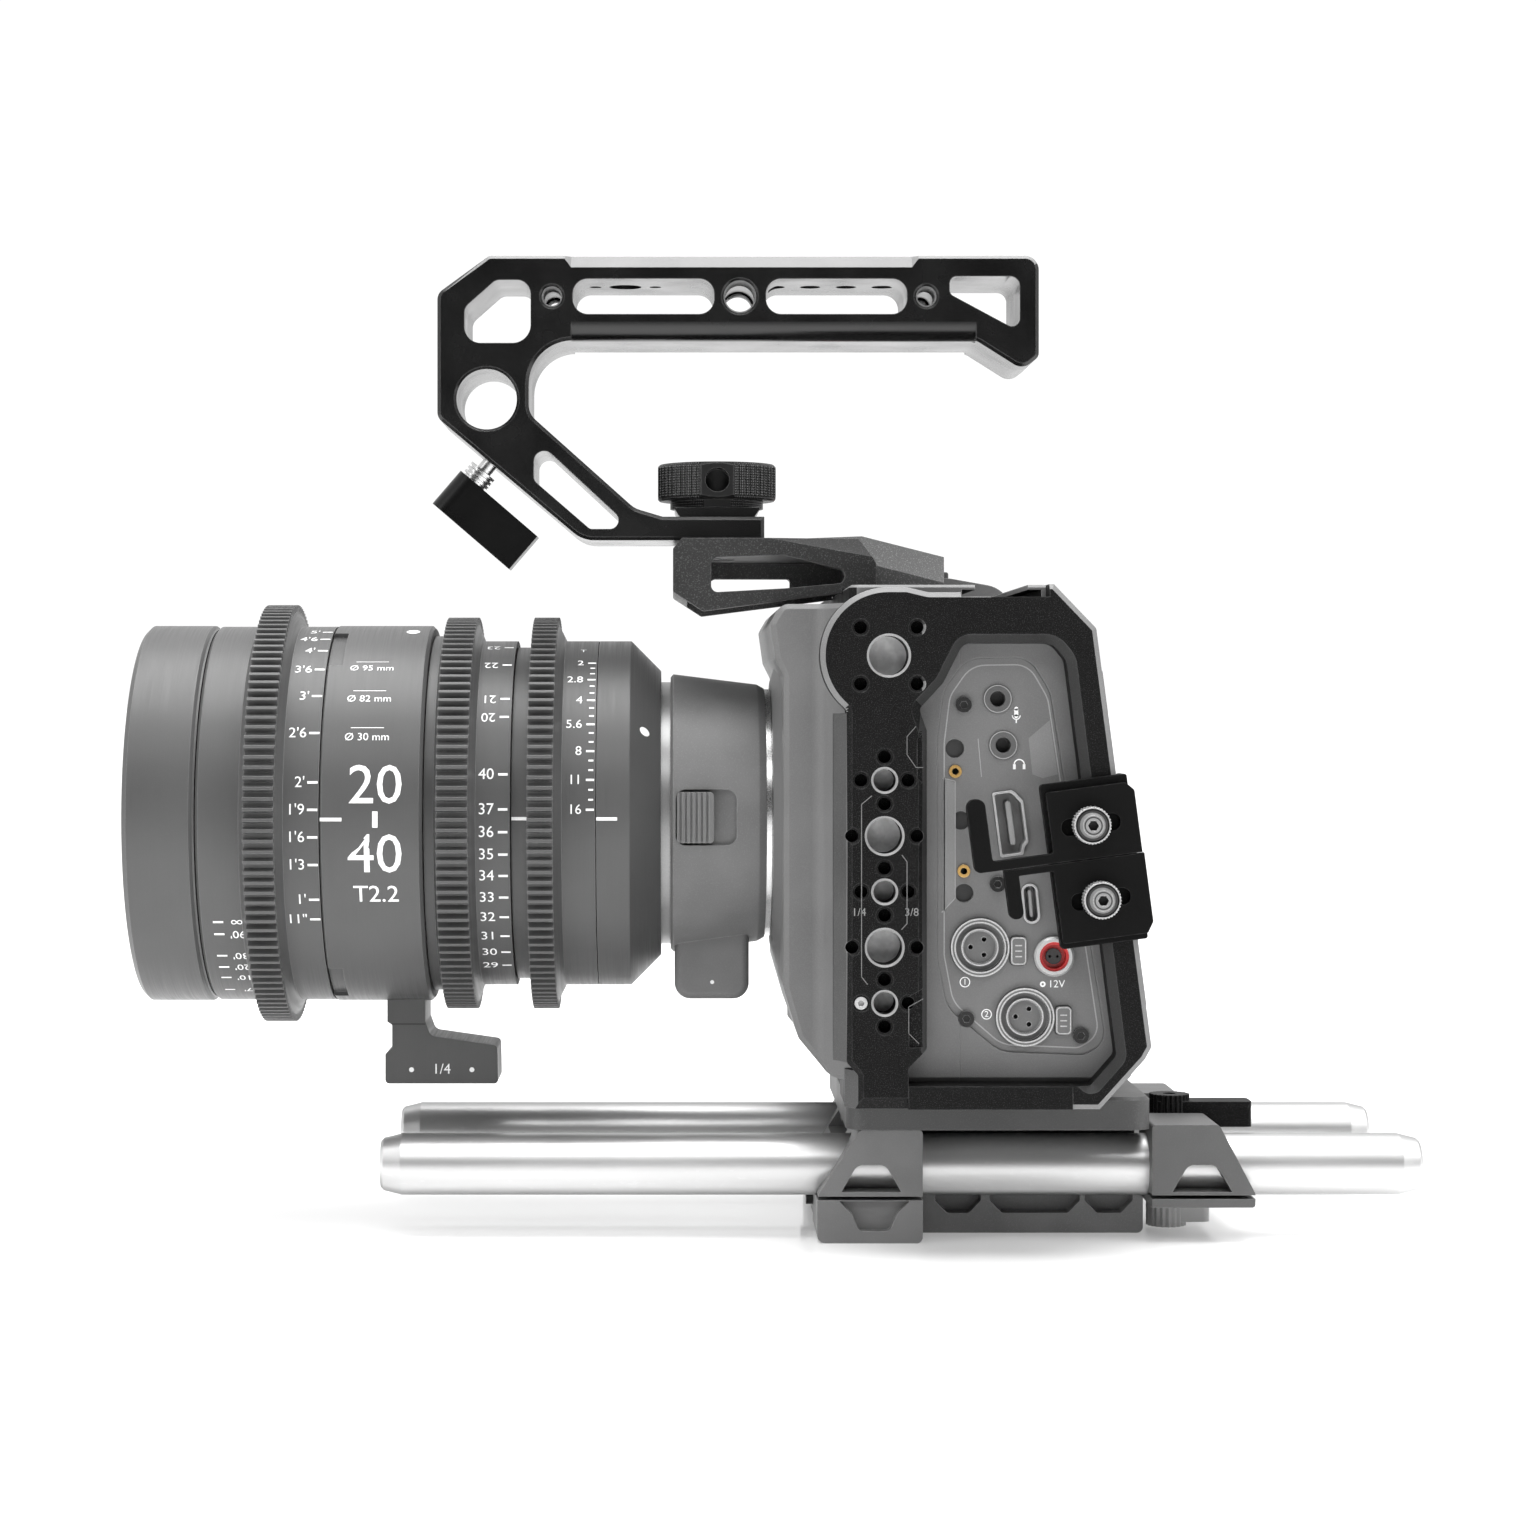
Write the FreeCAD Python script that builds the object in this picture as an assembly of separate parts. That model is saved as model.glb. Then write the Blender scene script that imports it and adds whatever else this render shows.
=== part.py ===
"""Cinema camera rig: a box camera in a half cage, with a zoom cine lens on a mount adapter, a top
handle on a raised bridge, and a lightweight-support base with two 15 mm rods.

Row frame, millimetres: +X runs from the lens to the back of the camera, +Y to the operator's right,
+Z up. The origin is the mouth of the tripod thread, in the middle of the base's underside.
Each sub-part is built by its own function and written as parts/NODE.step.
"""
import FreeCAD
import Part
import math
import os

V = FreeCAD.Vector

# ---- driving dimensions -------------------------------------------------------------------------
ROD_R = 7.5                 # 15 mm rods
ROD_Y = 30.0                # half the 60 mm pitch of the lightweight-support standard
ROD_Z = 17.5                # rod centres above the underside
ROD_FRONT, ROD_LENGTH = -159.0, 254.0
AXIS_Z = ROD_Z + 85.0       # the standard puts the optical axis 85 mm above the rods
FIT = 0.06                  # radial clearance of a turning or sliding fit
TAP_QUARTER, TAP_THREE_EIGHTHS, TAP_SMALL = 2.6, 4.1, 1.5   # tapped-hole radii
MOUTH = 0.55                # how far a tapped hole's mouth is chamfered
CAGE_FACE, CAGE_BACK = -68.0, -60.0     # outer and inner face of the cage's side plate
HOLE_PITCH = 13.0           # pitch of the tapped holes down the cage's side
TILT = math.radians(7.5)    # lean of the camera's back and the cage's rear edge
SLED_Z, SLED_TOP = 27.7, 35.6
FLOOR_Z = 41.0              # top of the cage's bottom plate, where the camera stands
ROOF_Z = 154.2              # top of the camera under the cage's top plate
BRIDGE_TOP = 171.0          # seat of the handle
HANDLE_HALF = 16.5          # half of the handle's thickness

# lens stations along X, from the front rim to the camera's flange, and radii
LENS_FRONT, FOCUS_FRONT, FOCUS_GEAR, FOCUS_GEAR_END = -220.0, -202.3, -190.2, -182.8
CENTRE_FRONT, CENTRE_END = -172.3, -147.8
ZOOM_GEAR, ZOOM_GEAR_END, ZOOM_END = -144.4, -136.8, -126.9
INDEX_FRONT, INDEX_END = -126.6, -122.8
IRIS_GEAR_END, IRIS_END, REAR_RING_END, CONE_END = -116.4, -106.3, -98.1, -90.6
ADAPTER_FRONT, ADAPTER_END, FLANGE = -88.2, -64.6, -63.2
BARREL_R, SCALE_R, CORE_R, CORE_BORE = 47.5, 43.6, 40.0, 37.0
GEAR_MODULE, FOCUS_TEETH, SMALL_TEETH = 0.8, 130, 122
FILTER_R = 41.0
RING_BORE, GEAR_ROOT = CORE_R + FIT, 47.4     # bore of the turning rings, root of the two small gears

PARTS = {}


# ---- helpers ------------------------------------------------------------------------------------
def to3d(plane, a, b, level):
    """A point of a drawing plane: xz, xy or yz, at the given level along the third axis."""
    return {"xz": V(a, level, b), "xy": V(a, b, level), "yz": V(level, a, b)}[plane]


def outline(points, plane, level):
    """A closed wire through (a, b) or (a, b, corner radius) points."""
    n = len(points)
    edges, last, first = [], None, None
    for i, p in enumerate(points):
        before, after = points[i - 1], points[(i + 1) % n]
        here = FreeCAD.Vector(p[0], p[1], 0)
        radius = p[2] if len(p) > 2 else 0
        if radius:
            to_a = (V(before[0], before[1], 0) - here).normalize()
            to_b = (V(after[0], after[1], 0) - here).normalize()
            half = to_a.getAngle(to_b) / 2
            reach = radius / math.tan(half)
            middle = (to_a + to_b).normalize() * (radius / math.sin(half) - radius)
            corner = [here + to_a * reach, here + middle, here + to_b * reach]
        else:
            corner = [here]
        corner = [to3d(plane, c.x, c.y, level) for c in corner]
        if last is not None and (last - corner[0]).Length > 1e-6:
            edges.append(Part.makeLine(last, corner[0]))
        if len(corner) == 3:
            edges.append(Part.Arc(*corner).toShape())
        first = first or corner[0]
        last = corner[-1]
    if (last - first).Length > 1e-6:
        edges.append(Part.makeLine(last, first))
    return Part.Wire(edges)


def prism(points, plane, low, high):
    """The outline pushed from low to high along the axis its plane leaves out."""
    push = {"xz": V(0, high - low, 0), "xy": V(0, 0, high - low), "yz": V(high - low, 0, 0)}[plane]
    return Part.Face(outline(points, plane, low)).extrude(push)


def box(x0, x1, y0, y1, z0, z1):
    return Part.makeBox(x1 - x0, y1 - y0, z1 - z0, V(x0, y0, z0))


def rounded_box(x0, x1, y0, y1, z0, z1, radius, plane="xz"):
    """A box whose four corners are rounded in the drawing plane."""
    spans = {"xz": (x0, x1, z0, z1, y0, y1), "xy": (x0, x1, y0, y1, z0, z1), "yz": (y0, y1, z0, z1, x0, x1)}
    a0, a1, b0, b1, low, high = spans[plane]
    corners = [(a0, b0, radius), (a1, b0, radius), (a1, b1, radius), (a0, b1, radius)]
    return prism(corners, plane, low, high)


def rod(start, direction, radius, length):
    return Part.makeCylinder(radius, length, V(*start), V(*direction))


def turned(points, axis=(0, AXIS_Z), start=0, sweep=360):
    """A solid of revolution from (x, radius) points about a line along X through (y, z) = axis.

    A part turn starts that many degrees from straight up and sweeps towards -Y.
    """
    y, z = axis
    raised = [(p[0], z + p[1]) + tuple(p[2:]) for p in points]
    face = Part.Face(outline(raised, "xz", y))
    face.rotate(V(0, y, z), V(1, 0, 0), start)
    return face.revolve(V(0, y, z), V(1, 0, 0), sweep)


def tube(x0, x1, outer, inner):
    return turned([(x0, inner), (x0, outer), (x1, outer), (x1, inner)])


def fuse(shapes):
    whole = shapes[0].fuse(shapes[1:]) if len(shapes) > 1 else shapes[0]
    return whole.removeSplitter()


def cut(shape, tools):
    return shape.cut(tools).removeSplitter()


def group(shapes):
    """Separate solids that share one node."""
    return Part.makeCompound(shapes)


def toothed_disc(x0, x1, teeth, module):
    """A spur gear blank on the optical axis with straight-sided teeth."""
    tip, root = module * (teeth + 2) / 2, module * (teeth - 2.5) / 2
    step = 2 * math.pi / teeth
    corners = []
    for tooth in range(teeth):
        for share, radius in ((-0.30, root), (-0.14, tip), (0.14, tip), (0.30, root)):
            angle = (tooth + share) * step
            corners.append((radius * math.cos(angle), AXIS_Z + radius * math.sin(angle)))
    return prism(corners, "yz", x0, x1)


def ridged_circle(centre, radius, ridges, depth):
    """A circle with sharp ridges, as points of a drawing plane."""
    corners = []
    for ridge in range(ridges):
        for share, r in ((0.0, radius), (0.5, radius - depth)):
            angle = (ridge + share) * 2 * math.pi / ridges
            corners.append((centre[0] + r * math.cos(angle), centre[1] + r * math.sin(angle)))
    return corners


def knurled_disc(centre, radius, height, ridges, depth=0.35):
    """An upright disc with sharp vertical ridges, standing on its centre point."""
    return prism(ridged_circle(centre[:2], radius, ridges, depth), "xy", centre[2], centre[2] + height)


def tapped(start, direction, radius, depth):
    """The tool for a tapped hole: a bore with a chamfered mouth at start, running along direction."""
    mouth = Part.makeCone(radius + MOUTH, radius, MOUTH, V(*start), V(*direction))
    return rod(start, direction, radius, depth).fuse(mouth)


def soften(shape, size, wanted, rounded=False):
    """Chamfers or rounds the edges that wanted(edge) picks."""
    edges = [e for e in shape.Edges if wanted(e)]
    return shape.makeFillet(size, edges) if rounded else shape.makeChamfer(size, edges)


def is_circle(edge):
    return isinstance(edge.Curve, Part.Circle) and edge.Closed


def on_y(level):
    """Picks edges that lie wholly in the plane Y = level."""
    def wanted(edge):
        return all(abs(v.Y - level) < 1e-6 for v in edge.Vertexes) and abs(edge.CenterOfMass.y - level) < 1e-6
    return wanted


def leaning(origin, points):
    """Points of the leaning (u, v) frame at origin, as (x, z): u runs back, v runs up the lean."""
    c, s = math.cos(TILT), math.sin(TILT)
    return [(origin[0] + p[0] * c - p[1] * s, origin[1] + p[0] * s + p[1] * c) + tuple(p[2:]) for p in points]


def grown(points, by):
    """The outline moved outwards by a distance, or inwards if it is negative.

    Its rounded corners stay concentric.
    """
    count = len(points)
    area = sum(points[i - 1][0] * points[i][1] - points[i][0] * points[i - 1][1] for i in range(count))
    way = 1 if area > 0 else -1
    moved = []
    for i, p in enumerate(points):
        before, after = points[i - 1], points[(i + 1) % count]
        arrive = V(p[0] - before[0], p[1] - before[1], 0).normalize()
        leave = V(after[0] - p[0], after[1] - p[1], 0).normalize()
        out_a, out_b = V(arrive.y, -arrive.x, 0) * way, V(leave.y, -leave.x, 0) * way
        shift = (out_a + out_b) * (by / (1 + out_a.dot(out_b)))
        radius = p[2] if len(p) > 2 else 0
        if radius:
            bulges = (arrive.x * leave.y - arrive.y * leave.x) * way > 0
            radius = max(radius + (by if bulges else -by), 0.2)
        moved.append((p[0] + shift.x, p[1] + shift.y, radius))
    return moved


def keep(name, shape):
    PARTS[name] = shape


# ---- base: plate, rod clamps, rail, rods ---------------------------------------------------------
CLAMP_Y = 42.0              # half the width of the rod clamps
PLATE_Y, PLATE_Z = 26.5, 10.0
FRONT_CLAMP = (-52.8, -27.3)
REAR_CLAMP = (28.1, 53.0)
REAR_CLAMP_Z = 8.6          # underside of the rear clamp, a thin wall below the rods
JAW_GAP_Y = 20.0            # half the channel that the sled's jaws run in
LOCK_PIVOT = (36.5, -14.0)
REAR_LEVER_PIVOT = (35.2, -17.0)
LEVER_PIN_R = 2.0
PIN_HOLE_R = LEVER_PIN_R + FIT
RAIL_SCREWS = [(x, y) for x in (-20, 20) for y in (-12, 12)]    # they hold the rail on the plate
CLAMP_SCREW_Y, CLAMP_SCREW_Z = 17.0, 7.5                        # the front clamp's two screws
SLIT = 0.9                  # the cut that lets a rod clamp close


def rod_bores():
    return [rod((-200, y, ROD_Z), (1, 0, 0), ROD_R + FIT, 400) for y in (-ROD_Y, ROD_Y)]


def clamp_window(middle):
    """A bell-shaped opening in both outer walls of a clamp, down to the rods."""
    bell = [(middle - 7.2, 12.4), (middle - 3.4, 18.9, 2.5), (middle + 3.4, 18.9, 2.5), (middle + 7.2, 12.4)]
    return [prism(bell, "xz", y0, y1) for y0, y1 in ((-CLAMP_Y - 1, -33), (33, CLAMP_Y + 1))]


def screw(point, direction, head_r, head_h, shank_r, shank_l):
    """A socket screw whose head starts at point and whose shank follows along direction."""
    d = V(*direction)
    head = rod(point, direction, head_r, head_h)
    socket = prism_hex(V(*point), d, head_r * 0.5, head_h * 0.6)
    shank = rod(tuple(V(*point) + d * head_h), direction, shank_r, shank_l)
    return cut(fuse([head, shank]), [socket])


def prism_hex(point, direction, radius, depth):
    """A hexagonal socket sunk from point along direction."""
    side = V(0, 0, 1) if abs(direction.z) < 0.9 else V(1, 0, 0)
    u = direction.cross(side).normalize()
    w = direction.cross(u)
    ring = [point + u * (radius * math.cos(a * math.pi / 3)) + w * (radius * math.sin(a * math.pi / 3))
            for a in range(6)]
    return Part.Face(Part.makePolygon(ring + ring[:1])).extrude(direction * depth)


def build_base_plate():
    """The plate with the tripod threads and three pockets down each side."""
    plate = rounded_box(FRONT_CLAMP[1], REAR_CLAMP[0], -PLATE_Y, PLATE_Y, 0, PLATE_Z, 1.5)
    top = PLATE_Z + 1
    pockets = []
    for x0, x1 in ((-23.1, -11.8), (-9.6, 12.6), (13.8, 25.6)):
        shape = [(x0, top), (x0, 8, 1), (x0 + 3, 4.9, 1), (x1 - 3, 4.9, 1), (x1, 8, 1), (x1, top)]
        pockets.append(prism(shape, "xz", -PLATE_Y - 1, -PLATE_Y + 4))
        pockets.append(prism(shape, "xz", PLATE_Y - 4, PLATE_Y + 1))
    threads = [rod((0, 0, -1), (0, 0, 1), TAP_THREE_EIGHTHS, PLATE_Z + 2)]
    threads += [tapped((x, 0, 0), (0, 0, 1), TAP_QUARTER, PLATE_Z + 1) for x in (-18, 18)]
    heads = [rod((x, y, -1), (0, 0, 1), 2.9, 4.2) for x, y in RAIL_SCREWS]
    shanks = [rod((x, y, 3), (0, 0, 1), 1.6, 8) for x, y in RAIL_SCREWS]
    keep("base_plate", cut(plate, pockets + threads + heads + shanks))


def build_slide_rail():
    """The dovetail the sled runs on."""
    section = [(-19.8, PLATE_Z), (19.8, PLATE_Z), (19.8, 22), (11, 22), (14, 27.5), (-14, 27.5),
               (-11, 22), (-19.8, 22)]
    rail = prism(section, "yz", FRONT_CLAMP[1], REAR_CLAMP[0])
    taps = [rod((x, y, PLATE_Z - 1), (0, 0, 1), 1.6, 9) for x, y in RAIL_SCREWS]
    keep("slide_rail", cut(rail, taps))


def closing_slits(x0, x1, z):
    """The cuts from both sides of a clamp in to its rods."""
    return [box(x0 - 1, x1 + 1, -CLAMP_Y - 1, -ROD_Y, z, z + SLIT),
            box(x0 - 1, x1 + 1, ROD_Y, CLAMP_Y + 1, z, z + SLIT)]


def build_front_rod_clamp():
    x0, x1 = FRONT_CLAMP
    side = [(x1, 27.3, 0.8), (-42.5, 27.3, 1.5), (x0 + 0.4, 12, 1), (x0, 10.4), (x0, 0, 2), (x1, 0, 1.5)]
    front = prism(side, "xz", -CLAMP_Y, CLAMP_Y)
    pocket = [(-47.5, 10.2), (-44.5, 7.2, 1), (-42.7, 3, 1.5), (-35.3, 3, 1.5), (-33.5, 7.2, 1),
              (-30.4, 10.2)]
    tools = rod_bores() + clamp_window(-39.7) + closing_slits(x0, x1, 10.4)
    tools += [box(x0 - 1, x1 + 1, -JAW_GAP_Y, JAW_GAP_Y, 20, 30), box(x0 - 1, x1 + 1, -18, 18, -1, 3.4)]
    tools.append(prism(pocket, "xz", -CLAMP_Y - 1, -CLAMP_Y + 2))
    tools.append(prism(pocket, "xz", CLAMP_Y - 2, CLAMP_Y + 1))
    for y in (-CLAMP_SCREW_Y, CLAMP_SCREW_Y):
        tools.append(rod((x0 - 1, y, CLAMP_SCREW_Z), (1, 0, 0), 1.95, 1.4))
        tools.append(rod((x0 - 1, y, CLAMP_SCREW_Z), (1, 0, 0), 1.25, 9.5))
    keep("front_rod_clamp", cut(front, tools))


def build_rear_rod_clamp():
    x0, x1 = REAR_CLAMP
    side = [(x0, 28.6, 0.8), (44.3, 28.6, 1.5), (x1, 12, 1), (x1, REAR_CLAMP_Z, 0.8), (x0, REAR_CLAMP_Z)]
    rear = prism(side, "xz", -CLAMP_Y, CLAMP_Y)
    tools = rod_bores() + clamp_window(40.2) + closing_slits(x0, x1, 10.7)
    tools.append(box(x0 - 1, x1 + 1, -JAW_GAP_Y, JAW_GAP_Y, 22, 30))
    tools.append(rod(REAR_LEVER_PIVOT + (REAR_CLAMP_Z - 1,), (0, 0, 1), PIN_HOLE_R, 9))
    tools.append(rod(LOCK_PIVOT + (16,), (0, 0, 1), PIN_HOLE_R, 7))
    keep("rear_rod_clamp", cut(rear, tools))


def build_base_screws():
    screws = [screw((x, y, 0.4), (0, 0, 1), 2.8, 2.8, 1.55, 14) for x, y in RAIL_SCREWS]
    for y in (-CLAMP_SCREW_Y, CLAMP_SCREW_Y):
        screws.append(screw((FRONT_CLAMP[0] - 1.7, y, CLAMP_SCREW_Z), (1, 0, 0), 1.9, 2.0, 1.2, 8))
    keep("base_screws", group(screws))


def build_rods():
    """Two 15 mm rods with tapered ends and a tapped bore in each end."""
    rear = ROD_FRONT + ROD_LENGTH
    for name, y in (("rod_left", -ROD_Y), ("rod_right", ROD_Y)):
        bar = turned([(ROD_FRONT, 0), (ROD_FRONT, 5.7), (ROD_FRONT + 0.7, 6.4), (ROD_FRONT + 5.1, ROD_R),
                      (rear - 5.1, ROD_R), (rear - 0.7, 6.4), (rear, 5.7), (rear, 0)], (y, ROD_Z))
        keep(name, cut(bar, [rod((x, y, ROD_Z), (1, 0, 0), 4.2, 12) for x in (ROD_FRONT - 1, rear - 11)]))


def build_sled_lock_lever():
    """The lever that locks the sled to its rail."""
    x, y = LOCK_PIVOT
    arm = rounded_box(x - 3.6, x + 20.0, y - 4, y + 4, 24.9, 31.2, 1.2, "xy")
    hub = knurled_disc((x, y, 24.9), 5.0, 7.9, 24, 0.5)
    stem = rod((x, y, 22.1), (0, 0, 1), 3.2, 3).fuse(rod((x, y, 16.5), (0, 0, 1), LEVER_PIN_R, 6))
    socket = prism_hex(V(x, y, 32.8), V(0, 0, -1), 1.8, 2.5)
    keep("sled_lock_lever", cut(fuse([arm, hub, stem]), [socket]))


def build_rod_clamp_lever():
    """The lever under the rear clamp that pinches it on the rods."""
    x, y = REAR_LEVER_PIVOT
    hub = knurled_disc((x, y, 0.5), 5.0, 6.8, 20, 0.5)
    blade = [(x, y - 4, 1), (x + 10.6, y - 3, 2.2), (x + 10.6, y + 3, 2.2), (x, y + 4, 1)]
    arm = prism(blade, "xy", 1.6, 6.8)
    stem = rod((x, y, 7.0), (0, 0, 1), 2.8, REAR_CLAMP_Z - 7.1)
    pin = rod((x, y, 7.0), (0, 0, 1), LEVER_PIN_R, 9)
    keep("rod_clamp_lever", fuse([hub, arm, stem, pin]))


# ---- sled and cage --------------------------------------------------------------------------------
BOTTOM_SIDE = (-32.6, 5.7)  # where the bottom plate shows in the side plate's line
SLED_BOLTS_X = (-22, 6)     # the two bolts from the sled up into the camera
JAW_SLACK = 0.15            # clearance of the sled's jaws on the rail


def build_sled():
    plate = rounded_box(-45.8, 27.6, -45, 45, SLED_Z, SLED_TOP, 5, "xy")
    plate = soften(plate, 0.8, lambda e: abs(e.CenterOfMass.z - SLED_TOP) < 1e-6)
    jaws = []
    for side in (-1, 1):
        wide, narrow, outer = side * (14 + JAW_SLACK), side * (11 + JAW_SLACK), side * 19.4
        section = [(wide, SLED_Z + 0.5), (wide, 27.5), (narrow, 22.2), (outer, 22.2), (outer, SLED_Z + 0.5)]
        jaws.append(prism(section, "yz", -44, 27))
    bolts = [rod((x, 0, SLED_Z - 1), (0, 0, 1), 4.3, 4) for x in SLED_BOLTS_X]
    bolts += [rod((x, 0, SLED_Z + 2), (0, 0, 1), 3.3, 8) for x in SLED_BOLTS_X]
    keep("sled", cut(fuse([plate] + jaws), bolts))


FOOT_Z = 35.6               # underside of the side plate's feet
RIM = 1.2                   # chamfer round the outside of the side plate
WINDOW_BEVEL = 2.1          # chamfer round its window


def side_outline():
    """The outside line of the side plate, seen from outside."""
    front = [(-44.3, FOOT_Z), (-44.3, 43.5, 1.5), (-47.0, 46.5, 1.5), (-47.0, 128.7, 1.5)]
    big_corner = [(-53.2, 134.9, 15.9), (-53.2, 157.5, 15.9), (-33.0, 157.5, 4), (-28.0, 156.3, 4)]
    top = [(-14.0, 156.3), (-12.0, 158.2), (1.4, 158.2)]
    back = [(11.3, 147.9, 1.5), (24.2, 50.1, 1.5), (22.6, 47.2, 1.5), (12.1, FOOT_Z)]
    return front + big_corner + top + back


def window_outline():
    """The line of its window, which is open at the bottom between the two feet."""
    low, (x0, x1) = FOOT_Z - 2, BOTTOM_SIDE
    back = [(x1, low), (x1, FLOOR_Z), (10.0, FLOOR_Z, 1), (16.1, 48.0, 2), (4.4, 140.4, 4), (1.2, 144.4, 4)]
    front = [(-19.7, 144.4, 3), (-24.4, 135.1, 4), (-30.0, 129.0, 1.5), (-28.2, 124.0, 2), (-28.2, 49.7, 1.5),
             (x0, 45.3, 1.5), (x0, low)]
    return back + front


COLUMN_X, COLUMN_Z = -38.2, AXIS_Z - 42.1     # the lowest hole of the cage's column of tapped holes
COLUMN_SIZES = [TAP_QUARTER, TAP_THREE_EIGHTHS, TAP_QUARTER, TAP_THREE_EIGHTHS, TAP_QUARTER]
COLUMN = [(COLUMN_X, COLUMN_Z + HOLE_PITCH * i, size) for i, size in enumerate(COLUMN_SIZES)]
ROSETTE = (-37.2, 141.5)
RING_QUARTER, RING_THREE_EIGHTHS, RING_ROSETTE = 5.5, 7.6, 6.6    # how far the small holes stand off
TOP_SCREWS = [(x, y) for x in (-41, -25) for y in (-16, 16)]    # they hold the bridge on the top plate
CLAMP_C = (10.2, 93.6)      # middle of the cable-clamp base
CLAMP_V = 8.7               # each cable clamp's screw above or below that


def small_holes():
    """The small tapped holes: four round a quarter-inch hole, two beside a three-eighths."""
    spots = []
    for x, z, r in COLUMN:
        reach = RING_QUARTER if r == TAP_QUARTER else RING_THREE_EIGHTHS
        spots += [(x + reach, z), (x - reach, z)]
        if r == TAP_QUARTER:
            spots += [(x, z + reach), (x, z - reach)]
    for a in (-RING_ROSETTE, RING_ROSETTE):
        spots += [(ROSETTE[0] + a, ROSETTE[1] + b) for b in (-RING_ROSETTE, RING_ROSETTE)]
    return spots


def ramp(small, large, depth):
    """A sloping ring between an outline on the cage's outer face and another one further in."""
    ends = [outline(small, "xz", CAGE_FACE), outline(large, "xz", CAGE_FACE + depth)]
    return Part.makeLoft(ends, True, True)


def side_plate_blank():
    """The side plate with its rim and the two sloping strips down its front edge."""
    outside = side_outline()
    solids = [ramp(grown(outside, -RIM), outside, RIM), prism(outside, "xz", CAGE_FACE + RIM, CAGE_BACK)]
    strip = 2.9
    for front, low, high in ((-47.0, 46.5, 128.0), (-44.3, FOOT_Z, 44.5)):
        section = [(front, CAGE_FACE + RIM), (front - strip, CAGE_FACE + 5.6), (front - strip, CAGE_BACK),
                   (front, CAGE_BACK)]
        solids.append(prism(section, "xy", low, high))
    return fuse(solids)


def build_cage_side_plate():
    out, back = CAGE_FACE - 1, CAGE_BACK + 1
    window = window_outline()
    closed = [(0, 50)] + window[2:-2]
    bevel = ramp(grown(closed, WINDOW_BEVEL), closed, WINDOW_BEVEL)
    heel = prism([(out, FOOT_Z + 4.0), (CAGE_FACE + 3.0, FOOT_Z - 1), (out, FOOT_Z - 1)], "yz", -46, -31)
    shoe_notch = box(-20.4, 0.3, out, back, 155.2, 160)
    holes = [tapped((x, CAGE_FACE, z), (0, 1, 0), r, 12) for x, z, r in COLUMN]
    holes += [tapped((ROSETTE[0], CAGE_FACE, ROSETTE[1]), (0, 1, 0), TAP_THREE_EIGHTHS + 0.5, 12)]
    holes += [tapped((x, CAGE_FACE, z), (0, 1, 0), TAP_SMALL, 6) for x, z in small_holes()]
    reliefs = [[(-30.6, 122), (-30.6, 113, 0.4), (-28.0, 110.4), (-28.0, 124.5)],
               [(-32.5, 62), (-28.0, 64.5), (-28.0, 50), (-32.5, 50)]]
    holes += [prism(shape, "xz", out, CAGE_FACE + 1) for shape in reliefs]
    plate = cut(side_plate_blank(), [prism(window, "xz", out, back), bevel, heel, shoe_notch])
    keep("cage_side_plate", cut(plate, holes))


def build_cage_bottom_plate():
    x0, x1 = BOTTOM_SIDE
    plan = [(-47, CAGE_BACK), (x0, CAGE_BACK), (x0, CAGE_FACE), (x1, CAGE_FACE), (x1, CAGE_BACK),
            (12, CAGE_BACK), (12, 58, 4), (6, 66, 4), (-49, 66, 3), (-49, 44, 3), (-44, 36, 3), (-44, -30, 3),
            (-47, -36, 3)]
    floor = prism(plan, "xy", SLED_TOP, FLOOR_Z)
    holes = [rod((x, 0, SLED_TOP - 1), (0, 0, 1), 3.3, 8) for x in SLED_BOLTS_X]
    holes += [tapped((x, y, FLOOR_Z), (0, 0, -1), TAP_QUARTER, 8) for x in (-34, -8) for y in (-30, 30, 56)]
    vents = [rounded_box(-36, 4, y, y + 5, SLED_TOP - 1, FLOOR_Z + 1, 2.4, "xy") for y in (-50, -18, 14, 40)]
    keep("cage_bottom_plate", cut(floor, holes + vents))


def build_cage_top_plate():
    """The top plate with its cold shoe: a slot with overhanging lips, open at both ends."""
    top = rounded_box(-46, 3.2, CAGE_BACK, 42, ROOF_Z, 158.3, 3, "xy")
    top = soften(top, 0.6, lambda e: abs(e.CenterOfMass.z - 158.3) < 1e-6)
    shoe = [box(-19.5, -0.8, -70, 50, 155.3, 157.1), box(-16.4, -3.9, -70, 50, 157.0, 160)]
    holes = [tapped((x, y, 158.3), (0, 0, -1), TAP_QUARTER, 6) for x in (-39, -27) for y in (-52, -40, 36)]
    holes += [rod((x, y, ROOF_Z - 1), (0, 0, 1), 1.6, 8) for x, y in TOP_SCREWS]
    keep("cage_top_plate", cut(top, shoe + holes))


def build_cage_screws():
    """The bridge's screws, the two sled bolts, and one grub screw left in a small hole of the side plate."""
    screws = [screw((x, y, ROOF_Z), (0, 0, 1), 1.55, 0.5, 1.5, 8) for x, y in TOP_SCREWS]
    for x in SLED_BOLTS_X:
        head = rod((x, 0, SLED_Z + 0.6), (0, 0, 1), 4.2, 2.4)
        screws.append(head.fuse(rod((x, 0, SLED_Z + 3.0), (0, 0, 1), 3.2, 12.8)))
    grub = (COLUMN_X - RING_QUARTER, CAGE_FACE + 0.3, COLUMN_Z)
    socket = prism_hex(V(*grub), V(0, 1, 0), 0.8, 1.2)
    screws.append(cut(rod(grub, (0, 1, 0), TAP_SMALL, 5), [socket]))
    keep("cage_screws", group(screws))


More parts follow.
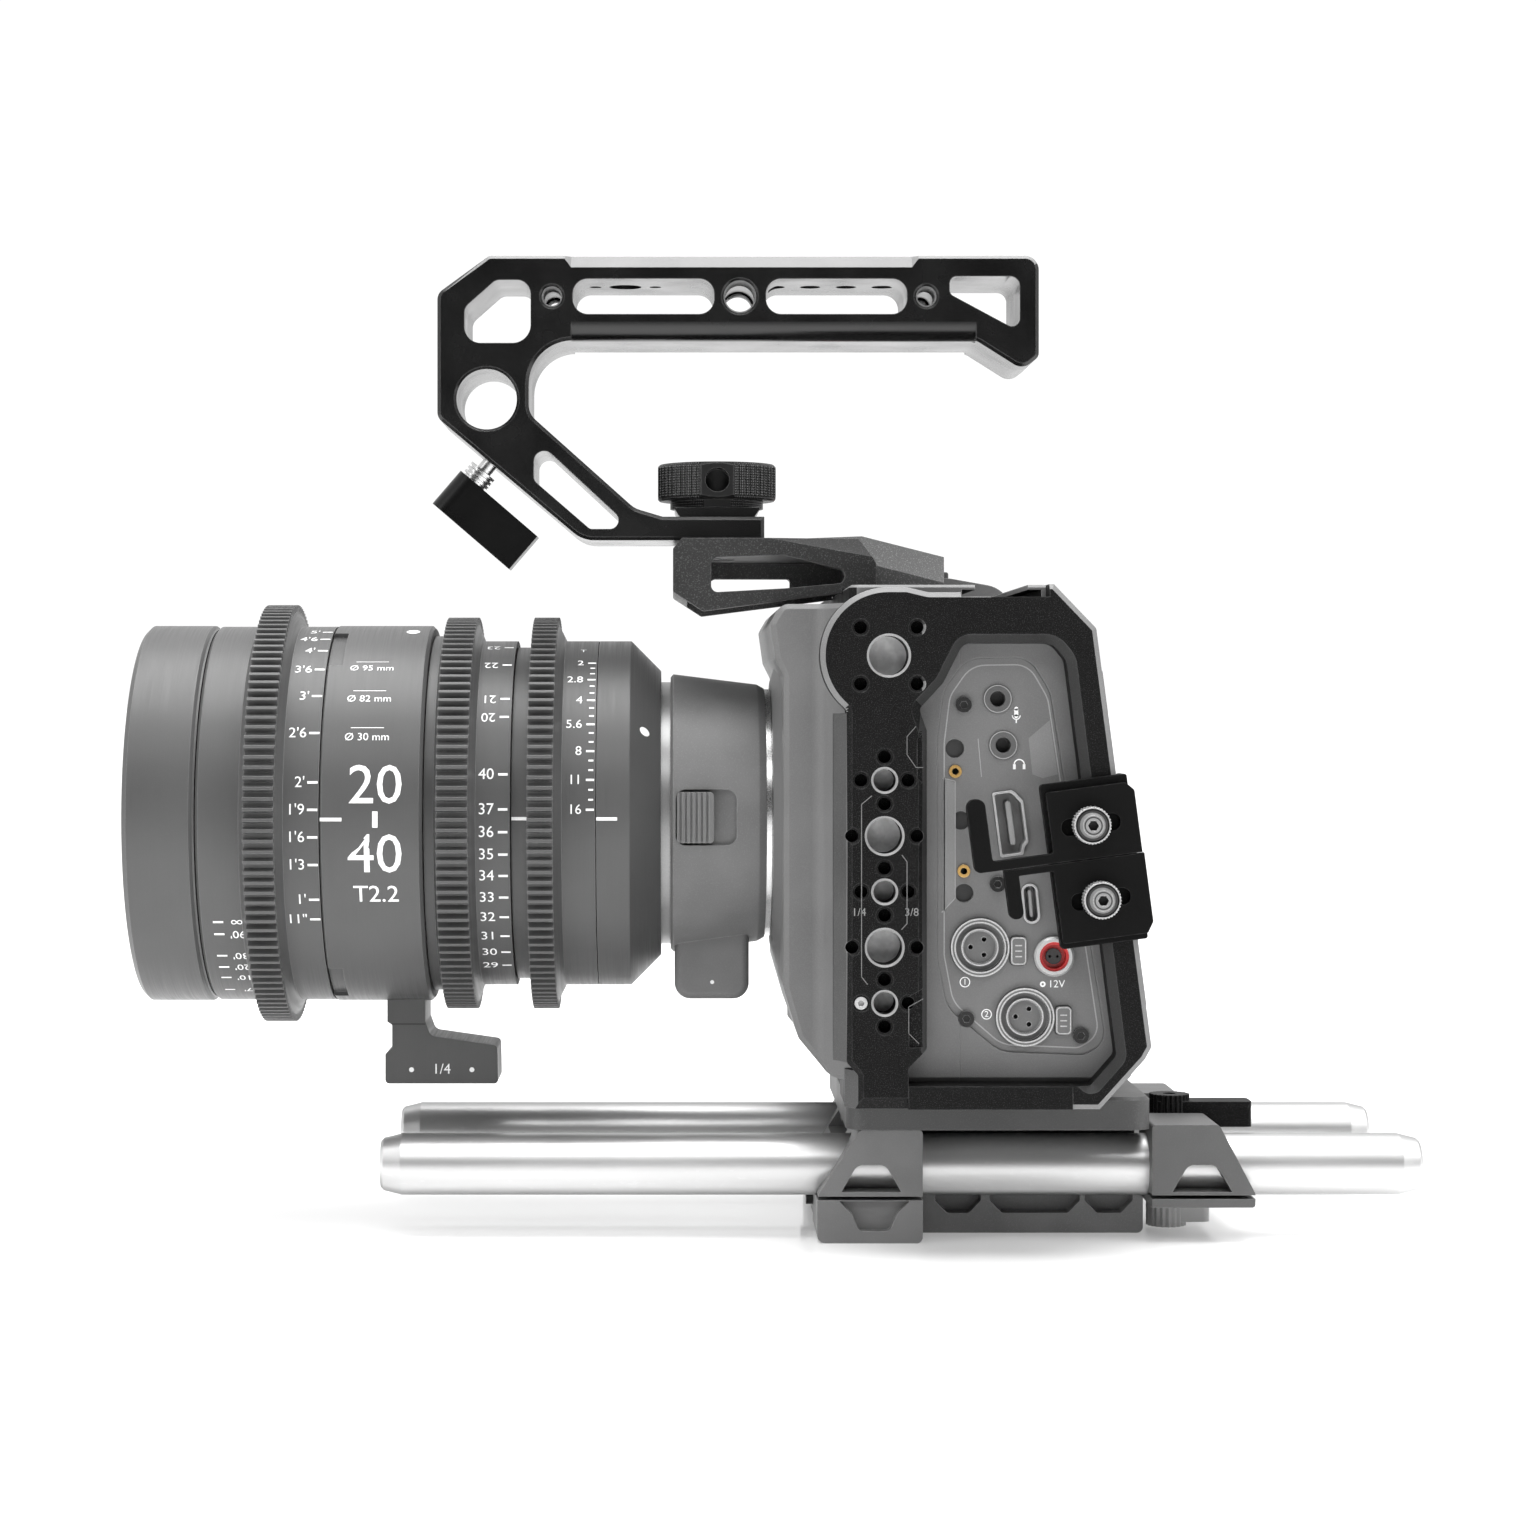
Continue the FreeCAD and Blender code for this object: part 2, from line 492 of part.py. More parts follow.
def half_space(a, b, c, towards):
    """A large block on the far side of the plane through a, b and c, on the side of the point towards."""
    normal = (b - a).cross(c - a).normalize()
    if normal.dot(towards - a) < 0:
        normal = normal * -1
    size = 120
    slab = Part.makeBox(size, size, size, V(-size / 2, -size / 2, 0))
    slab.Placement = FreeCAD.Placement(a, FreeCAD.Rotation(V(0, 0, 1), normal))
    return slab


def build_bridge():
    """The raised seat over the camera's brow that carries the handle: an arch with a window in each side."""
    front = prism([(-85.4, BRIDGE_TOP, 0.8), (-87.6, 168.4, 0.8), (-87.6, 157.8, 0.8), (-80.2, 153.0, 0.8),
                   (-46.0, 157.4), (-46.0, 158.3), (-37.6, 158.3), (-37.6, 164.8, 2), (-41.6, BRIDGE_TOP)],
                  "xz", -28, 28)
    rear = prism([(-60, BRIDGE_TOP), (-60, 158.3), (-20.6, 158.3), (-20.0, 166.8), (-40.5, 172.0)],
                 "xz", -22, 22)
    # each shoulder falls away towards the back, leaving a long sloping facet
    for side in (-1, 1):
        high, low = V(-37.5, side * 20.5, BRIDGE_TOP + 0.3), V(-37.5, side * 28, 166.2)
        front = cut(front, [half_space(V(-64, side * 28, BRIDGE_TOP), high, low, V(-50, side * 40, 180))])
        high, low = V(-20, side * 16, 166.8), V(-37.5, side * 22, 164.5)
        rear = cut(rear, [half_space(V(-40.5, side * 16, 172.0), high, low, V(-30, side * 40, 180))])
    shell = cut(fuse([front, rear]), [box(-84, -44, -23.5, 23.5, 150, 166.8)])
    near = [(-78.2, 157.6, 1.6), (-78.2, 166.2, 1.8), (-60, 166.8, 1), (-44.6, 162.8, 1.6),
            (-46.0, 159.9, 1.6), (-60, 158.6)]
    far = [(-78.2, 157.6, 1.6), (-78.2, 162.8, 1.8), (-57, 162.8, 1), (-57, 158.8, 1)]
    tools = [prism(near, "xz", -30, 0), prism(far, "xz", 0, 30)]
    tools.append(rod((HANDLE_BOLT_X, 0, 160), (0, 0, 1), HANDLE_BOLT_R + FIT, 20))
    tools += [rod((HANDLE_BOLT_X, y, 165), (0, 0, 1), PIN_R, 8) for y in WEDGE_PINS_Y]
    tools += [rod((x, y, 157), (0, 0, 1), 1.6, 7) for x, y in TOP_SCREWS]
    keep("top_bridge", cut(shell, tools))


CLAMP_BASE = (CAGE_FACE - 2.5, CAGE_FACE)
CLAMP_PLATE = (CAGE_FACE - 5.0, CAGE_FACE - 2.5)
CLAMP_TRAVEL = 4.5
CLAMP_SCREW_R = 1.9


def clamp_screw_spot(v):
    """Where a clamp's screw stands, as (x, z), for its height v on the leaning base."""
    return leaning(CLAMP_C, [(0, v)])[0]


def build_clamp_base():
    """The base on the cage's rear edge, with a lip that hooks round behind it."""
    u0, u1, v1, lip = -10.2, 10.2, 19.3, 8.5
    base = leaning(CLAMP_C, [(u0, -v1, 1), (u1, -v1, 1), (u1, v1, 1), (u0, v1, 1)])
    hook = leaning(CLAMP_C, [(lip, -v1, 0.6), (u1, -v1, 0.6), (u1, v1, 0.6), (lip, v1, 0.6)])
    body = fuse([prism(base, "xz", *CLAMP_BASE), prism(hook, "xz", CLAMP_BASE[0], CAGE_FACE + 5)])
    taps = []
    for v in (CLAMP_V, -CLAMP_V):
        x, z = clamp_screw_spot(v)
        taps.append(rod((x, CAGE_FACE - 4, z), (0, 1, 0), CLAMP_SCREW_R + FIT, 5))
    keep("clamp_base", cut(body, taps))


def build_cable_clamp(name, shape, v):
    """A plate that slides on the base, with a slot for its screw."""
    left, right = -CLAMP_TRAVEL - 2.2, CLAMP_TRAVEL + 2.6
    slot = [(left, v - 2.0, 1.9), (right, v - 2.0, 1.9), (right, v + 2.0, 1.9), (left, v + 2.0, 1.9)]
    hole = prism(leaning(CLAMP_C, slot), "xz", CLAMP_PLATE[0] - 2, CLAMP_PLATE[1] + 2)
    keep(name, cut(prism(leaning(CLAMP_C, shape), "xz", *CLAMP_PLATE), [hole]))


def build_clamp_screw(name, v):
    """A knurled screw with a raised crown and a hexagonal socket."""
    x, z = clamp_screw_spot(v)
    face = CLAMP_PLATE[0] - 4.6
    corners = ridged_circle((x, z), 4.4, 36, 0.3)
    head = prism(corners, "xz", face, CLAMP_PLATE[0] - 0.2)
    crown = Part.makeCone(3.0, 2.4, 1.3, V(x, face, z), V(0, -1, 0))
    groove = rod((x, face - 0.1, z), (0, 1, 0), 3.9, 1.3).cut(rod((x, face - 0.1, z), (0, 1, 0), 3.0, 1.3))
    shank = rod((x, CLAMP_PLATE[0] - 0.5, z), (0, 1, 0), CLAMP_SCREW_R, 5.4)
    socket = prism_hex(V(x, face - 1.3, z), V(0, 1, 0), 1.3, 2.2)
    keep(name, cut(fuse([head, crown, shank]), [groove, socket]))


def build_cable_clamps():
    """The upper clamp has an upright arm behind the video plug, the lower one a hooked arm."""
    upper = [(-27.9, 0.9, 1.5), (11.2, 0.9), (11.2, 15.4, 1), (9.4, 17.4, 1), (-9.3, 17.4, 0.8),
             (-9.3, 3.2, 0.6), (-23.5, 3.2, 0.8), (-23.5, 18.0, 2), (-27.9, 18.0, 2)]
    lower = [(-21.3, 0.7), (11.6, 0.7), (11.6, -15.4, 1), (10.0, -17.9, 0.8), (-9.8, -17.9, 0.8),
             (-9.8, -0.9, 0.3), (-17.9, -0.9, 0.3), (-17.9, -10.8, 1.6), (-21.3, -10.8, 1.6)]
    build_clamp_base()
    build_cable_clamp("hdmi_clamp", upper, CLAMP_V)
    build_cable_clamp("usb_clamp", lower, -CLAMP_V)
    build_clamp_screw("hdmi_clamp_screw", CLAMP_V)
    build_clamp_screw("usb_clamp_screw", -CLAMP_V)


# ---- top handle -----------------------------------------------------------------------------------
HANDLE_BOLT_X, HANDLE_BOLT_R = -76.5, 4.7
WEDGE_PINS_Y, PIN_R = (-8, 8), 1.3     # two pins that stop the handle turning on its bolt
HANDLE_ROD = (-134.1, 206.2)
CROSS_Z = 231.8             # height of the tapped holes through the grip
GRIP_Z, GRIP_TOP = 220.9, 242.0
LEVER_AT = (-135.4, 189.7)  # where the rod clamp's screw leaves the handle's lower face
LEVER_DIR = (-0.652, -0.758)
LEVER_SHANK = 2.1          # it passes beside the rod without reaching into its hole


def grip_edge_tools(side):
    """The wide bevel along the grip's top edge, which runs out at both ends, and the round below it."""
    edge, inner, top = side * (HANDLE_HALF + 1), side * (HANDLE_HALF - 3.2), GRIP_TOP + 1
    wedge = [(inner, top), (edge, top), (edge, GRIP_TOP - 4.2)]
    vanished = [(edge, top), (edge, top + 1), (edge + side, top)]
    tools = [prism(wedge, "yz", -113, -28)]
    for full, gone in ((-113, -117.5), (-28, -23.5)):
        ends = [outline(wedge, "yz", full), outline(vanished, "yz", gone)]
        tools.append(Part.makeLoft(ends, True, True))
    r = 4.6
    centre = side * (HANDLE_HALF - r)
    block = box(-113, -12, min(centre, edge), max(centre, edge), GRIP_Z - 1, GRIP_Z + r)
    tools.append(block.cut(rod((-120, centre, GRIP_Z + r), (1, 0, 0), r, 120)))
    return tools


def handle_openings():
    """The windows, the rod hole and the two long slots through the handle from side to side."""
    through = [
        [(-139.6, 229.0, 3), (-131.8, 235.9, 3), (-123.1, 235.9, 3.5), (-123.1, 220.2, 4.5),
         (-139.6, 220.2, 4)],
        [(-122.3, 196.6, 2.6), (-97.8, 173.8, 2.2), (-108.3, 173.8, 1.5), (-122.3, 185.9, 2)],
        [(-18.6, 236.8, 1.8), (-1.1, 236.8, 2.5), (-1.1, 223.0, 2), (-18.6, 232.4, 1.6)],
    ]
    tools = [prism(shape, "xz", -30, 30) for shape in through]
    for x0, x1 in ((-112.6, -77.3), (-64.4, -29.2)):
        tools.append(rounded_box(x0, x1, -30, 30, 227.4, 236.2, 3.8))
    x, z = HANDLE_ROD
    bore = ROD_R + 0.05
    tools.append(rod((x, -20, z), (0, 1, 0), bore, 40))
    for side in (-1, 1):
        tools.append(Part.makeCone(bore + 0.6, bore, 0.6, V(x, side * HANDLE_HALF, z), V(0, -side, 0)))
    return tools


def handle_holes():
    """Tapped holes across the grip and along its top, and the bores of the bolt, its pins and the lever."""
    tools = []
    for x, r in ((-117.8, TAP_QUARTER), (-70.9, TAP_THREE_EIGHTHS), (-24.4, TAP_QUARTER)):
        tools.append(tapped((x, -HANDLE_HALF, CROSS_Z), (0, 1, 0), r, 34))
        tools.append(tapped((x, HANDLE_HALF, CROSS_Z), (0, -1, 0), r, 34))
    tools.append(tapped((-99.7, 0, GRIP_TOP), (0, 0, -1), TAP_THREE_EIGHTHS, 7))
    tools += [rod((x, 0, 235), (0, 0, 1), TAP_SMALL, 9) for x in (-107.3, -92.1)]
    tools += [tapped((x, 0, GRIP_TOP), (0, 0, -1), TAP_QUARTER, 7) for x in (-61.8, -52.7, -43.6, -34.5)]
    tools.append(rod((HANDLE_BOLT_X, 0, 168), (0, 0, 1), HANDLE_BOLT_R + FIT, 12))
    tools += [rod((HANDLE_BOLT_X, y, 168), (0, 0, 1), PIN_R, 7) for y in WEDGE_PINS_Y]
    lx, lz = LEVER_AT
    dx, dz = LEVER_DIR
    tools.append(rod((lx + dx * 3, 0, lz + dz * 3), (-dx, 0, -dz), LEVER_SHANK + FIT, 19))
    return tools


def build_top_handle():
    outer = [(-133.5, GRIP_TOP, 2), (-146.4, 232.6, 3), (-146.4, 201.6, 3), (-110.2, BRIDGE_TOP, 8),
             (-64.8, BRIDGE_TOP), (-64.8, 176.9), (-90.2, 176.9), (-97.2, 179.0, 6),
             (-123.6, 202.6, 5), (-123.6, GRIP_Z, 11), (-12.0, GRIP_Z, 4), (-0.4, 213.6, 3.5),
             (3.7, 216.8, 2), (3.7, GRIP_TOP, 3.5)]
    body = prism(outer, "xz", -HANDLE_HALF, HANDLE_HALF)
    body = soften(body, 0.8, lambda e: on_y(HANDLE_HALF)(e) or on_y(-HANDLE_HALF)(e))
    tools = grip_edge_tools(-1) + grip_edge_tools(1) + handle_openings() + handle_holes()
    keep("top_handle", cut(body, tools))


def build_handle_wedge():
    """The wedge plate under the knob, and the two pins through the handle's foot."""
    x = HANDLE_BOLT_X
    section = [(x - 11.1, 179.5, 0.4), (x - 9.2, 176.9), (x + 9.2, 176.9), (x + 11.1, 179.5, 0.4)]
    wedge = cut(prism(section, "xz", -12, 12), [rod((x, 0, 170), (0, 0, 1), HANDLE_BOLT_R + FIT, 12)])
    pins = [rod((x, y, 168.5), (0, 0, 1), PIN_R, 6.5) for y in WEDGE_PINS_Y]
    keep("handle_wedge", group([wedge] + pins))


def build_handle_knob():
    """The knurled wheel with four smooth flats, each with a hole for a bar, and its bolt."""
    x, low, radius, flat = HANDLE_BOLT_X, 181.6, 15.6, 14.9
    blank = soften(Part.makeCylinder(radius, 9.2, V(x, 0, low)), 1.1, is_circle)
    wheel = knurled_disc((x, 0, low), radius, 9.2, 90).common(blank)
    core = Part.makeCylinder(10.5, 12, V(x, 0, 181))
    tools = [Part.makeCylinder(9.5, 1.0, V(x, 0, 190.0))]
    for quarter in range(4):
        side = box(x + flat, x + radius + 1, -4.6, 4.6, 181, 192)
        hole = rod((x, 0, 186.2), (1, 0, 0), 3.0, 16).cut(core)
        for tool in (side, hole):
            tool.rotate(V(x, 0, 0), V(0, 0, 1), 90 * quarter)
            tools.append(tool)
    collar = Part.makeCylinder(11.8, 2.0, V(x, 0, 179.6))
    bolt = Part.makeCylinder(HANDLE_BOLT_R, 13.0, V(x, 0, 167.0))
    keep("handle_knob", cut(fuse([wheel, collar, bolt]), tools))


def build_handle_lever():
    """The winged clamp screw of the handle's rod hole, square to the handle's lower face."""
    lx, lz = LEVER_AT
    d = V(LEVER_DIR[0], 0, LEVER_DIR[1])
    start = V(lx, 0, lz)
    hub = Part.makeCylinder(4.6, 11.0, start + d * 4.2, d)
    collar = Part.makeCylinder(3.3, 3.8, start + d * 0.5, d)
    rings = [Part.makeCylinder(3.9, 0.7, start + d * (0.5 + 1.2 * i), d) for i in range(3)]
    shank = Part.makeCylinder(LEVER_SHANK, 14.0, start - d * 13.4, d)
    along = V(-LEVER_DIR[1], 0, LEVER_DIR[0])     # square to the axis, towards the back of the rig
    a, b = start + d * 4.2, start + d * 15.2
    ring = [a, a + along * 21.4, b + along * 21.4, b, a]
    wing = Part.Face(Part.makePolygon([p - V(0, 4.6, 0) for p in ring])).extrude(V(0, 9.2, 0))
    keep("handle_clamp_lever", fuse([hub, collar, shank, wing] + rings))


# ---- camera ---------------------------------------------------------------------------------------
SHELL_SPLIT = -20.0
GRIP_OUT = 112.0
GRIP_ROOF = 164.5           # top of the grip
PANEL_Y = (-59.2, -57.4)
PANEL = [(-23.8, 133.5, 7), (-18.3, 141.0, 7), (-3.6, 141.2, 6), (1.4, 133.0, 9), (14.6, 50.4, 5),
         (9.4, 47.4, 4), (-10.5, 48.2, 8), (-23.0, 58.5, 8), (-25.3, 70.0, 8), (-25.3, 122.0, 8)]
JACKS = [(-11.0, 131.4), (-9.7, 120.5)]
PEG_HOLES = [(-21.1, 119.7), (-19.6, 102.7), (-18.9, 85.6)]
INSERTS = [(-21.0, 114.3), (-19.0, 90.8)]
PANEL_SCREWS = [(-19.0, 130.0), (-18.4, 56.0), (8.6, 52.0), (-11.0, 87.7)]
HDMI, USB = (-7.9, 102.1), (-3.2, 83.1)
USB_LEAN = TILT * 0.7
XLRS = [(-15.2, 72.8), (-4.6, 56.4)]
DC = (2.2, 70.7)
XLR_R, DC_R = 6.9, 4.7
BODY_SIDE = [(-61, 62, 4), (-57.5, 50, 3), (-50, FLOOR_Z, 4), (20, FLOOR_Z, 3), (22.3, 47, 3), (9.0, 148, 4),
             (2, ROOF_Z, 3), (-61.5, ROOF_Z, 3), (-64.2, 149.5, 2), (-63, 141, 2), (-61, 137, 2)]
BODY_PLAN = [(-66, -46), (-52, -47, 4), (-45, -60, 4), (30, -60), (30, 66), (-66, 66)]
GRIP_PLAN = [(-53, 62), (-56, 74, 6), (-54, 100, 10), (-40, GRIP_OUT, 12), (4, GRIP_OUT, 12), (14, 98, 8),
             (20, 62)]
GRIP_SIDE = [(-57, FLOOR_Z, 6), (19, FLOOR_Z, 4), (21.5, 52), (8.5, 152, 8), (2, 162.0, 8),
             (-12, GRIP_ROOF, 10), (-38, GRIP_ROOF, 6), (-57, 150, 6)]
WALL = 3.0                  # of the camera's shells


def inset(points, plane, level, by, depth):
    """A prism of the outline moved inwards by a wall thickness."""
    face = Part.Face(outline(points, plane, level))
    push = {"xz": V(0, depth, 0), "xy": V(0, 0, depth)}[plane]
    return face.makeOffset2D(-by, join=2).extrude(push)


def camera_block():
    body = prism(BODY_SIDE, "xz", -60, 66).common(prism(BODY_PLAN, "xy", 30, 170))
    body = soften(body, 1.2, on_y(-60))
    grip = prism(GRIP_PLAN, "xy", 30, 170).common(prism(GRIP_SIDE, "xz", 60, 115))
    return fuse([body, grip])


def camera_hollow():
    plan = [(-58, -43), (-50, -43), (-42, -57), (30, -57), (30, 66), (-58, 66)]
    body = inset([p[:2] for p in BODY_SIDE], "xz", -60, WALL, 126).common(prism(plan, "xy", 30, 170))
    thick_back = [(back_x(40) - 7.5, 40), (60, 40), (60, 170), (back_x(170) - 7.5, 170)]
    body = body.cut(prism(thick_back, "xz", -70, 70))
    grip = inset([p[:2] for p in GRIP_PLAN], "xy", 30, WALL, 140)
    grip = grip.common(inset([p[:2] for p in GRIP_SIDE], "xz", 58, WALL, 60))
    return body.fuse(grip)


def stadium(centre, length, width, lean, y0, y1):
    """A slot shape round centre, long side upright and leaning back."""
    h, w = length / 2, width / 2
    c, s = math.cos(lean), math.sin(lean)
    corners = [(-w, -h), (w, -h), (w, h), (-w, h)]
    turned_corners = [(centre[0] + a * c - b * s, centre[1] + a * s + b * c, w * 0.96) for a, b in corners]
    return prism(turned_corners, "xz", y0, y1)


def hdmi_outline(grow):
    """The D-shaped video socket: a straight long side and two cut corners."""
    h, w = 7.2 + grow, 3.0 + grow
    shape = [(-w, -h, 0.5), (w - 1.6, -h, 0.5), (w - 1.0, -h + 1.8, 0.3), (w, -h + 2.8, 0.4),
             (w, h - 2.8, 0.4), (w - 1.6, h - 0.6, 0.3), (w - 2.4, h, 0.5), (-w, h, 0.5)]
    c, s = math.cos(TILT), math.sin(TILT)
    return [(HDMI[0] + a * c - b * s, HDMI[1] + a * s + b * c, r) for a, b, r in shape]


def hole_y(spot, radius, y0=-62.0, y1=-50.0):
    return rod((spot[0], y0, spot[1]), (0, 1, 0), radius, y1 - y0)


def tab_box(spot, grow=0.0):
    """The push tab beside an audio socket."""
    x, z = spot[0] + XLR_R + 0.3, spot[1] - 0.8
    return rounded_box(x - grow, x + 3.7 + grow, -60.4, -57.0, z - 3.3 - grow, z + 3.3 + grow, 0.9 + grow)


def lens_boss(block):
    """The block with its lens opening, the turned collar round it and the seat of the mount ring."""
    section = [(-58, 25.2), (-58, 41), (-61, 39.5), (-63.0, 33.5, 0.6), (-63.0, 31.0), (-61.0, 31.0),
               (-61.0, 25.2)]
    opening = rod((-80, 0, AXIS_Z), (1, 0, 0), 25.2, 30)
    block = fuse([cut(block, [opening]), turned(section)])
    return cut(block, [rod((-63.2, 0, AXIS_Z), (1, 0, 0), 31.0, 2.2)])


def side_openings():
    """The panel's seat, the opening behind it and the room for each socket and fastener."""
    tools = [prism(PANEL, "xz", -62, PANEL_Y[1])]
    tools.append(prism([(-21, 134), (-3, 137), (9, 56), (-12, 52), (-21, 57)], "xz", -62, -50))
    tools += [hole_y(s, XLR_R + FIT) for s in XLRS] + [tab_box(s, 0.15) for s in XLRS]
    tools += [hole_y(s, 1.9 + FIT) for s in PANEL_SCREWS] + [hole_y(s, 1.5 + FIT) for s in INSERTS]
    tools.append(hole_y(DC, DC_R + FIT))
    return tools


def vent_slots():
    """Slots in the roof, in the floor under the fan, and in the grip's end."""
    roof = [rounded_box(-52 + 5 * i, -49.6 + 5 * i, 48, 60, 150, 170, 1.1, "xy") for i in range(8)]
    floor = [rounded_box(-40, -8, 18 + 6 * i, 21 + 6 * i, 36, 46, 1.4, "xy") for i in range(4)]
    grip = [rounded_box(-34 + 6 * i, -31.4 + 6 * i, 104, 120, 84, 108, 1.2) for i in range(5)]
    return roof + floor + grip


def build_camera_body():
    """The front and rear shells, parted across the camera."""
    x, y, z = WHEEL
    tools = side_openings() + vent_slots()
    tools.append(leaning_box(SCREEN, 0.3))
    tools.append(box(-45, 5, 72, 104, 30, 44.2))
    tools.append(box(x - 9.5, x + 8.5, y - 4.2, y + 4.2, z - 9.0, z + 9.0))
    tools += [rod((bx, by, 150), (0, 0, 1), r + 0.15, 20) for bx, by, r in BUTTONS.values()]
    tools += [rod((sx, 0, 39), (0, 0, 1), 3.3, 8) for sx in SLED_BOLTS_X]
    block = cut(lens_boss(camera_block().cut(camera_hollow())), tools)
    front = block.common(box(-80, SHELL_SPLIT, -80, 130, 20, 180))
    rear = block.common(box(SHELL_SPLIT, 60, -80, 130, 20, 180))
    keep("camera_front_shell", front.removeSplitter())
    keep("camera_rear_shell", rear.removeSplitter())


SCREEN = {"y0": -52.0, "y1": 60.0, "v0": 57.0, "v1": 139.0}
BACK_LINE = ((22.3, 47.0), (9.0, 148.0))    # the camera's leaning back, as (x, z) at the bottom and the top


def back_x(z):
    (xa, za), (xb, zb) = BACK_LINE
    return xa + (xb - xa) * (z - za) / (zb - za)


def leaning_box(spec, grow):
    """The screen unit's place, sunk into the back and leaning with it."""
    z0, z1 = spec["v0"] - grow, spec["v1"] + grow
    sunk, proud = 4.0 + (0.6 if grow else 0.0), 4.4 + (3.0 if grow else 0.0)
    section = back_slice(z0, z1, -sunk, proud)
    if not grow:
        section = [p + (1.6,) for p in section]
    return prism(section, "xz", spec["y0"] - grow, spec["y1"] + grow)


def back_slice(z0, z1, near, far):
    """A leaning band between two heights and two distances behind the camera's back."""
    return [(back_x(z0) + near, z0), (back_x(z0) + far, z0), (back_x(z1) + far, z1), (back_x(z1) + near, z1)]


BUTTONS = {"record_button": (-40.0, 84.0, 5.0), "iso_button": (-24.0, 76.0, 3.0),
           "shutter_button": (-14.0, 76.0, 3.0)}
WHEEL = (-48.5, 88.0, 148.0)


def build_port_panel():
    openings = [hole_y(s, 3.3) for s in JACKS] + [hole_y(s, 2.2, -62, -58.2) for s in PEG_HOLES]
    openings += [hole_y(s, 1.5) for s in INSERTS] + [hole_y(s, 1.0) for s in PANEL_SCREWS]
    openings += [prism(hdmi_outline(0.5), "xz", -62, -50), stadium(USB, 9.4, 3.9, USB_LEAN, -62, -50)]
    openings += [hole_y(s, XLR_R) for s in XLRS] + [hole_y(DC, DC_R)] + [tab_box(s, 0.15) for s in XLRS]
    keep("port_panel", cut(prism(PANEL, "xz", *PANEL_Y), openings))


def build_port_sockets():
    """Two jacks, the video socket and the data socket, each a rim round its contacts."""
    sockets = []
    for spot in JACKS:
        barrel = rod((spot[0], -59.7, spot[1]), (0, 1, 0), 3.3, 7)
        sockets.append(cut(barrel, [hole_y(spot, 1.8, -62, -55)]))
    rim = prism(hdmi_outline(0.5), "xz", -59.9, -52).cut(prism(hdmi_outline(0.0), "xz", -60, -54.5))
    tongue = stadium(HDMI, 10.5, 1.3, TILT, -58.6, -54.5)
    sockets.append(fuse([rim, tongue]))
    rim = stadium(USB, 9.4, 3.9, USB_LEAN, -59.7, -53).cut(stadium(USB, 8.4, 2.9, USB_LEAN, -60, -55))
    tongue = stadium(USB, 6.4, 0.8, USB_LEAN, -58.8, -55)
    sockets.append(fuse([rim, tongue]))
    keep("port_sockets", group(sockets))


def build_dc_socket():
    """The round power socket: a ring, a collar inside it and a core with two contacts."""
    ring = cut(rod((DC[0], -61.2, DC[1]), (0, 1, 0), DC_R, 8), [hole_y(DC, 3.5)])
    ring = soften(ring, 0.5, lambda e: e.Closed and abs(e.CenterOfMass.y + 61.2) < 1e-6 and e.Length > 25)
    core = rod((DC[0], -59.4, DC[1]), (0, 1, 0), 1.9, 6.2)
    band = rod((DC[0], -60.4, DC[1]), (0, 1, 0), 3.5, 7.2)
    band = cut(band, [hole_y(DC, 2.9, -62, -58.4), hole_y(DC, 1.9)])
    contacts = [hole_y((DC[0] + a, DC[1]), 0.3, -60, -58) for a in (-0.9, 0.9)]
    keep("dc_socket", group([ring, cut(core, contacts), band]))


def build_audio_sockets():
    """Two three-pin sockets, each a bezel round an insert, and the push tabs beside them."""
    shells = []
    for spot in XLRS:
        x, z = spot
        bezel = cut(rod((x, -60.3, z), (0, 1, 0), XLR_R, 6), [hole_y(spot, 5.7)])
        notch = box(x + 4.5, x + 8, -61, -59.2, z - 1.7, z + 1.7)
        insert = rod((x, -58.6, z), (0, 1, 0), 5.7, 4.3)
        lip = cut(rod((x, -59.6, z), (0, 1, 0), 4.4, 1.2), [hole_y(spot, 3.9, -62, -58.6)])
        pins = []
        for angle in (math.radians(60), math.radians(180), math.radians(300)):
            pins.append(hole_y((x + 2.1 * math.cos(angle), z + 2.1 * math.sin(angle)), 0.55, -62, -56))
        shells += [cut(bezel, [notch]), cut(fuse([insert, lip]), pins)]
    keep("audio_sockets", group(shells))
    for name, spot in zip(("audio_tab_upper", "audio_tab_lower"), XLRS):
        keep(name, tab_box(spot))


def build_panel_fasteners():
    """The panel's screws and its two brass inserts."""
    fasteners = [screw((x, -60.1, z), (0, 1, 0), 1.9, 0.9, 1.0, 2.4) for x, z in PANEL_SCREWS]
    fasteners += [cut(rod((x, -59.8, z), (0, 1, 0), 1.5, 2.4), [hole_y((x, z), 0.8)]) for x, z in INSERTS]
    keep("panel_fasteners", group(fasteners))


def build_mount_ring():
    """The camera's steel lens mount, with four screw recesses."""
    recesses = []
    for quarter in range(4):
        angle = math.radians(45 + 90 * quarter)
        y, z = 28.2 * math.cos(angle), AXIS_Z + 28.2 * math.sin(angle)
        recesses.append(rod((-64, y, z), (1, 0, 0), 0.9, 1.4))
    keep("lens_mount_ring", cut(tube(-63.1, -61.0, 31.0, 25.4), recesses))


def build_circuit_boards():
    """The sensor on its board with a heat spreader behind it, and the main board."""
    sensor = box(-39.6, -38, -18, 18, AXIS_Z - 12, AXIS_Z + 12)
    sensor_board = box(-38, -36.4, -30, 34, 72, 134)
    spreader = box(-36.4, -33.9, -20, 20, 88, 117)
    main_board = box(-14, -12.4, -50, 50, 50, 138)
    keep("circuit_boards", group([sensor_board, sensor, spreader, main_board]))


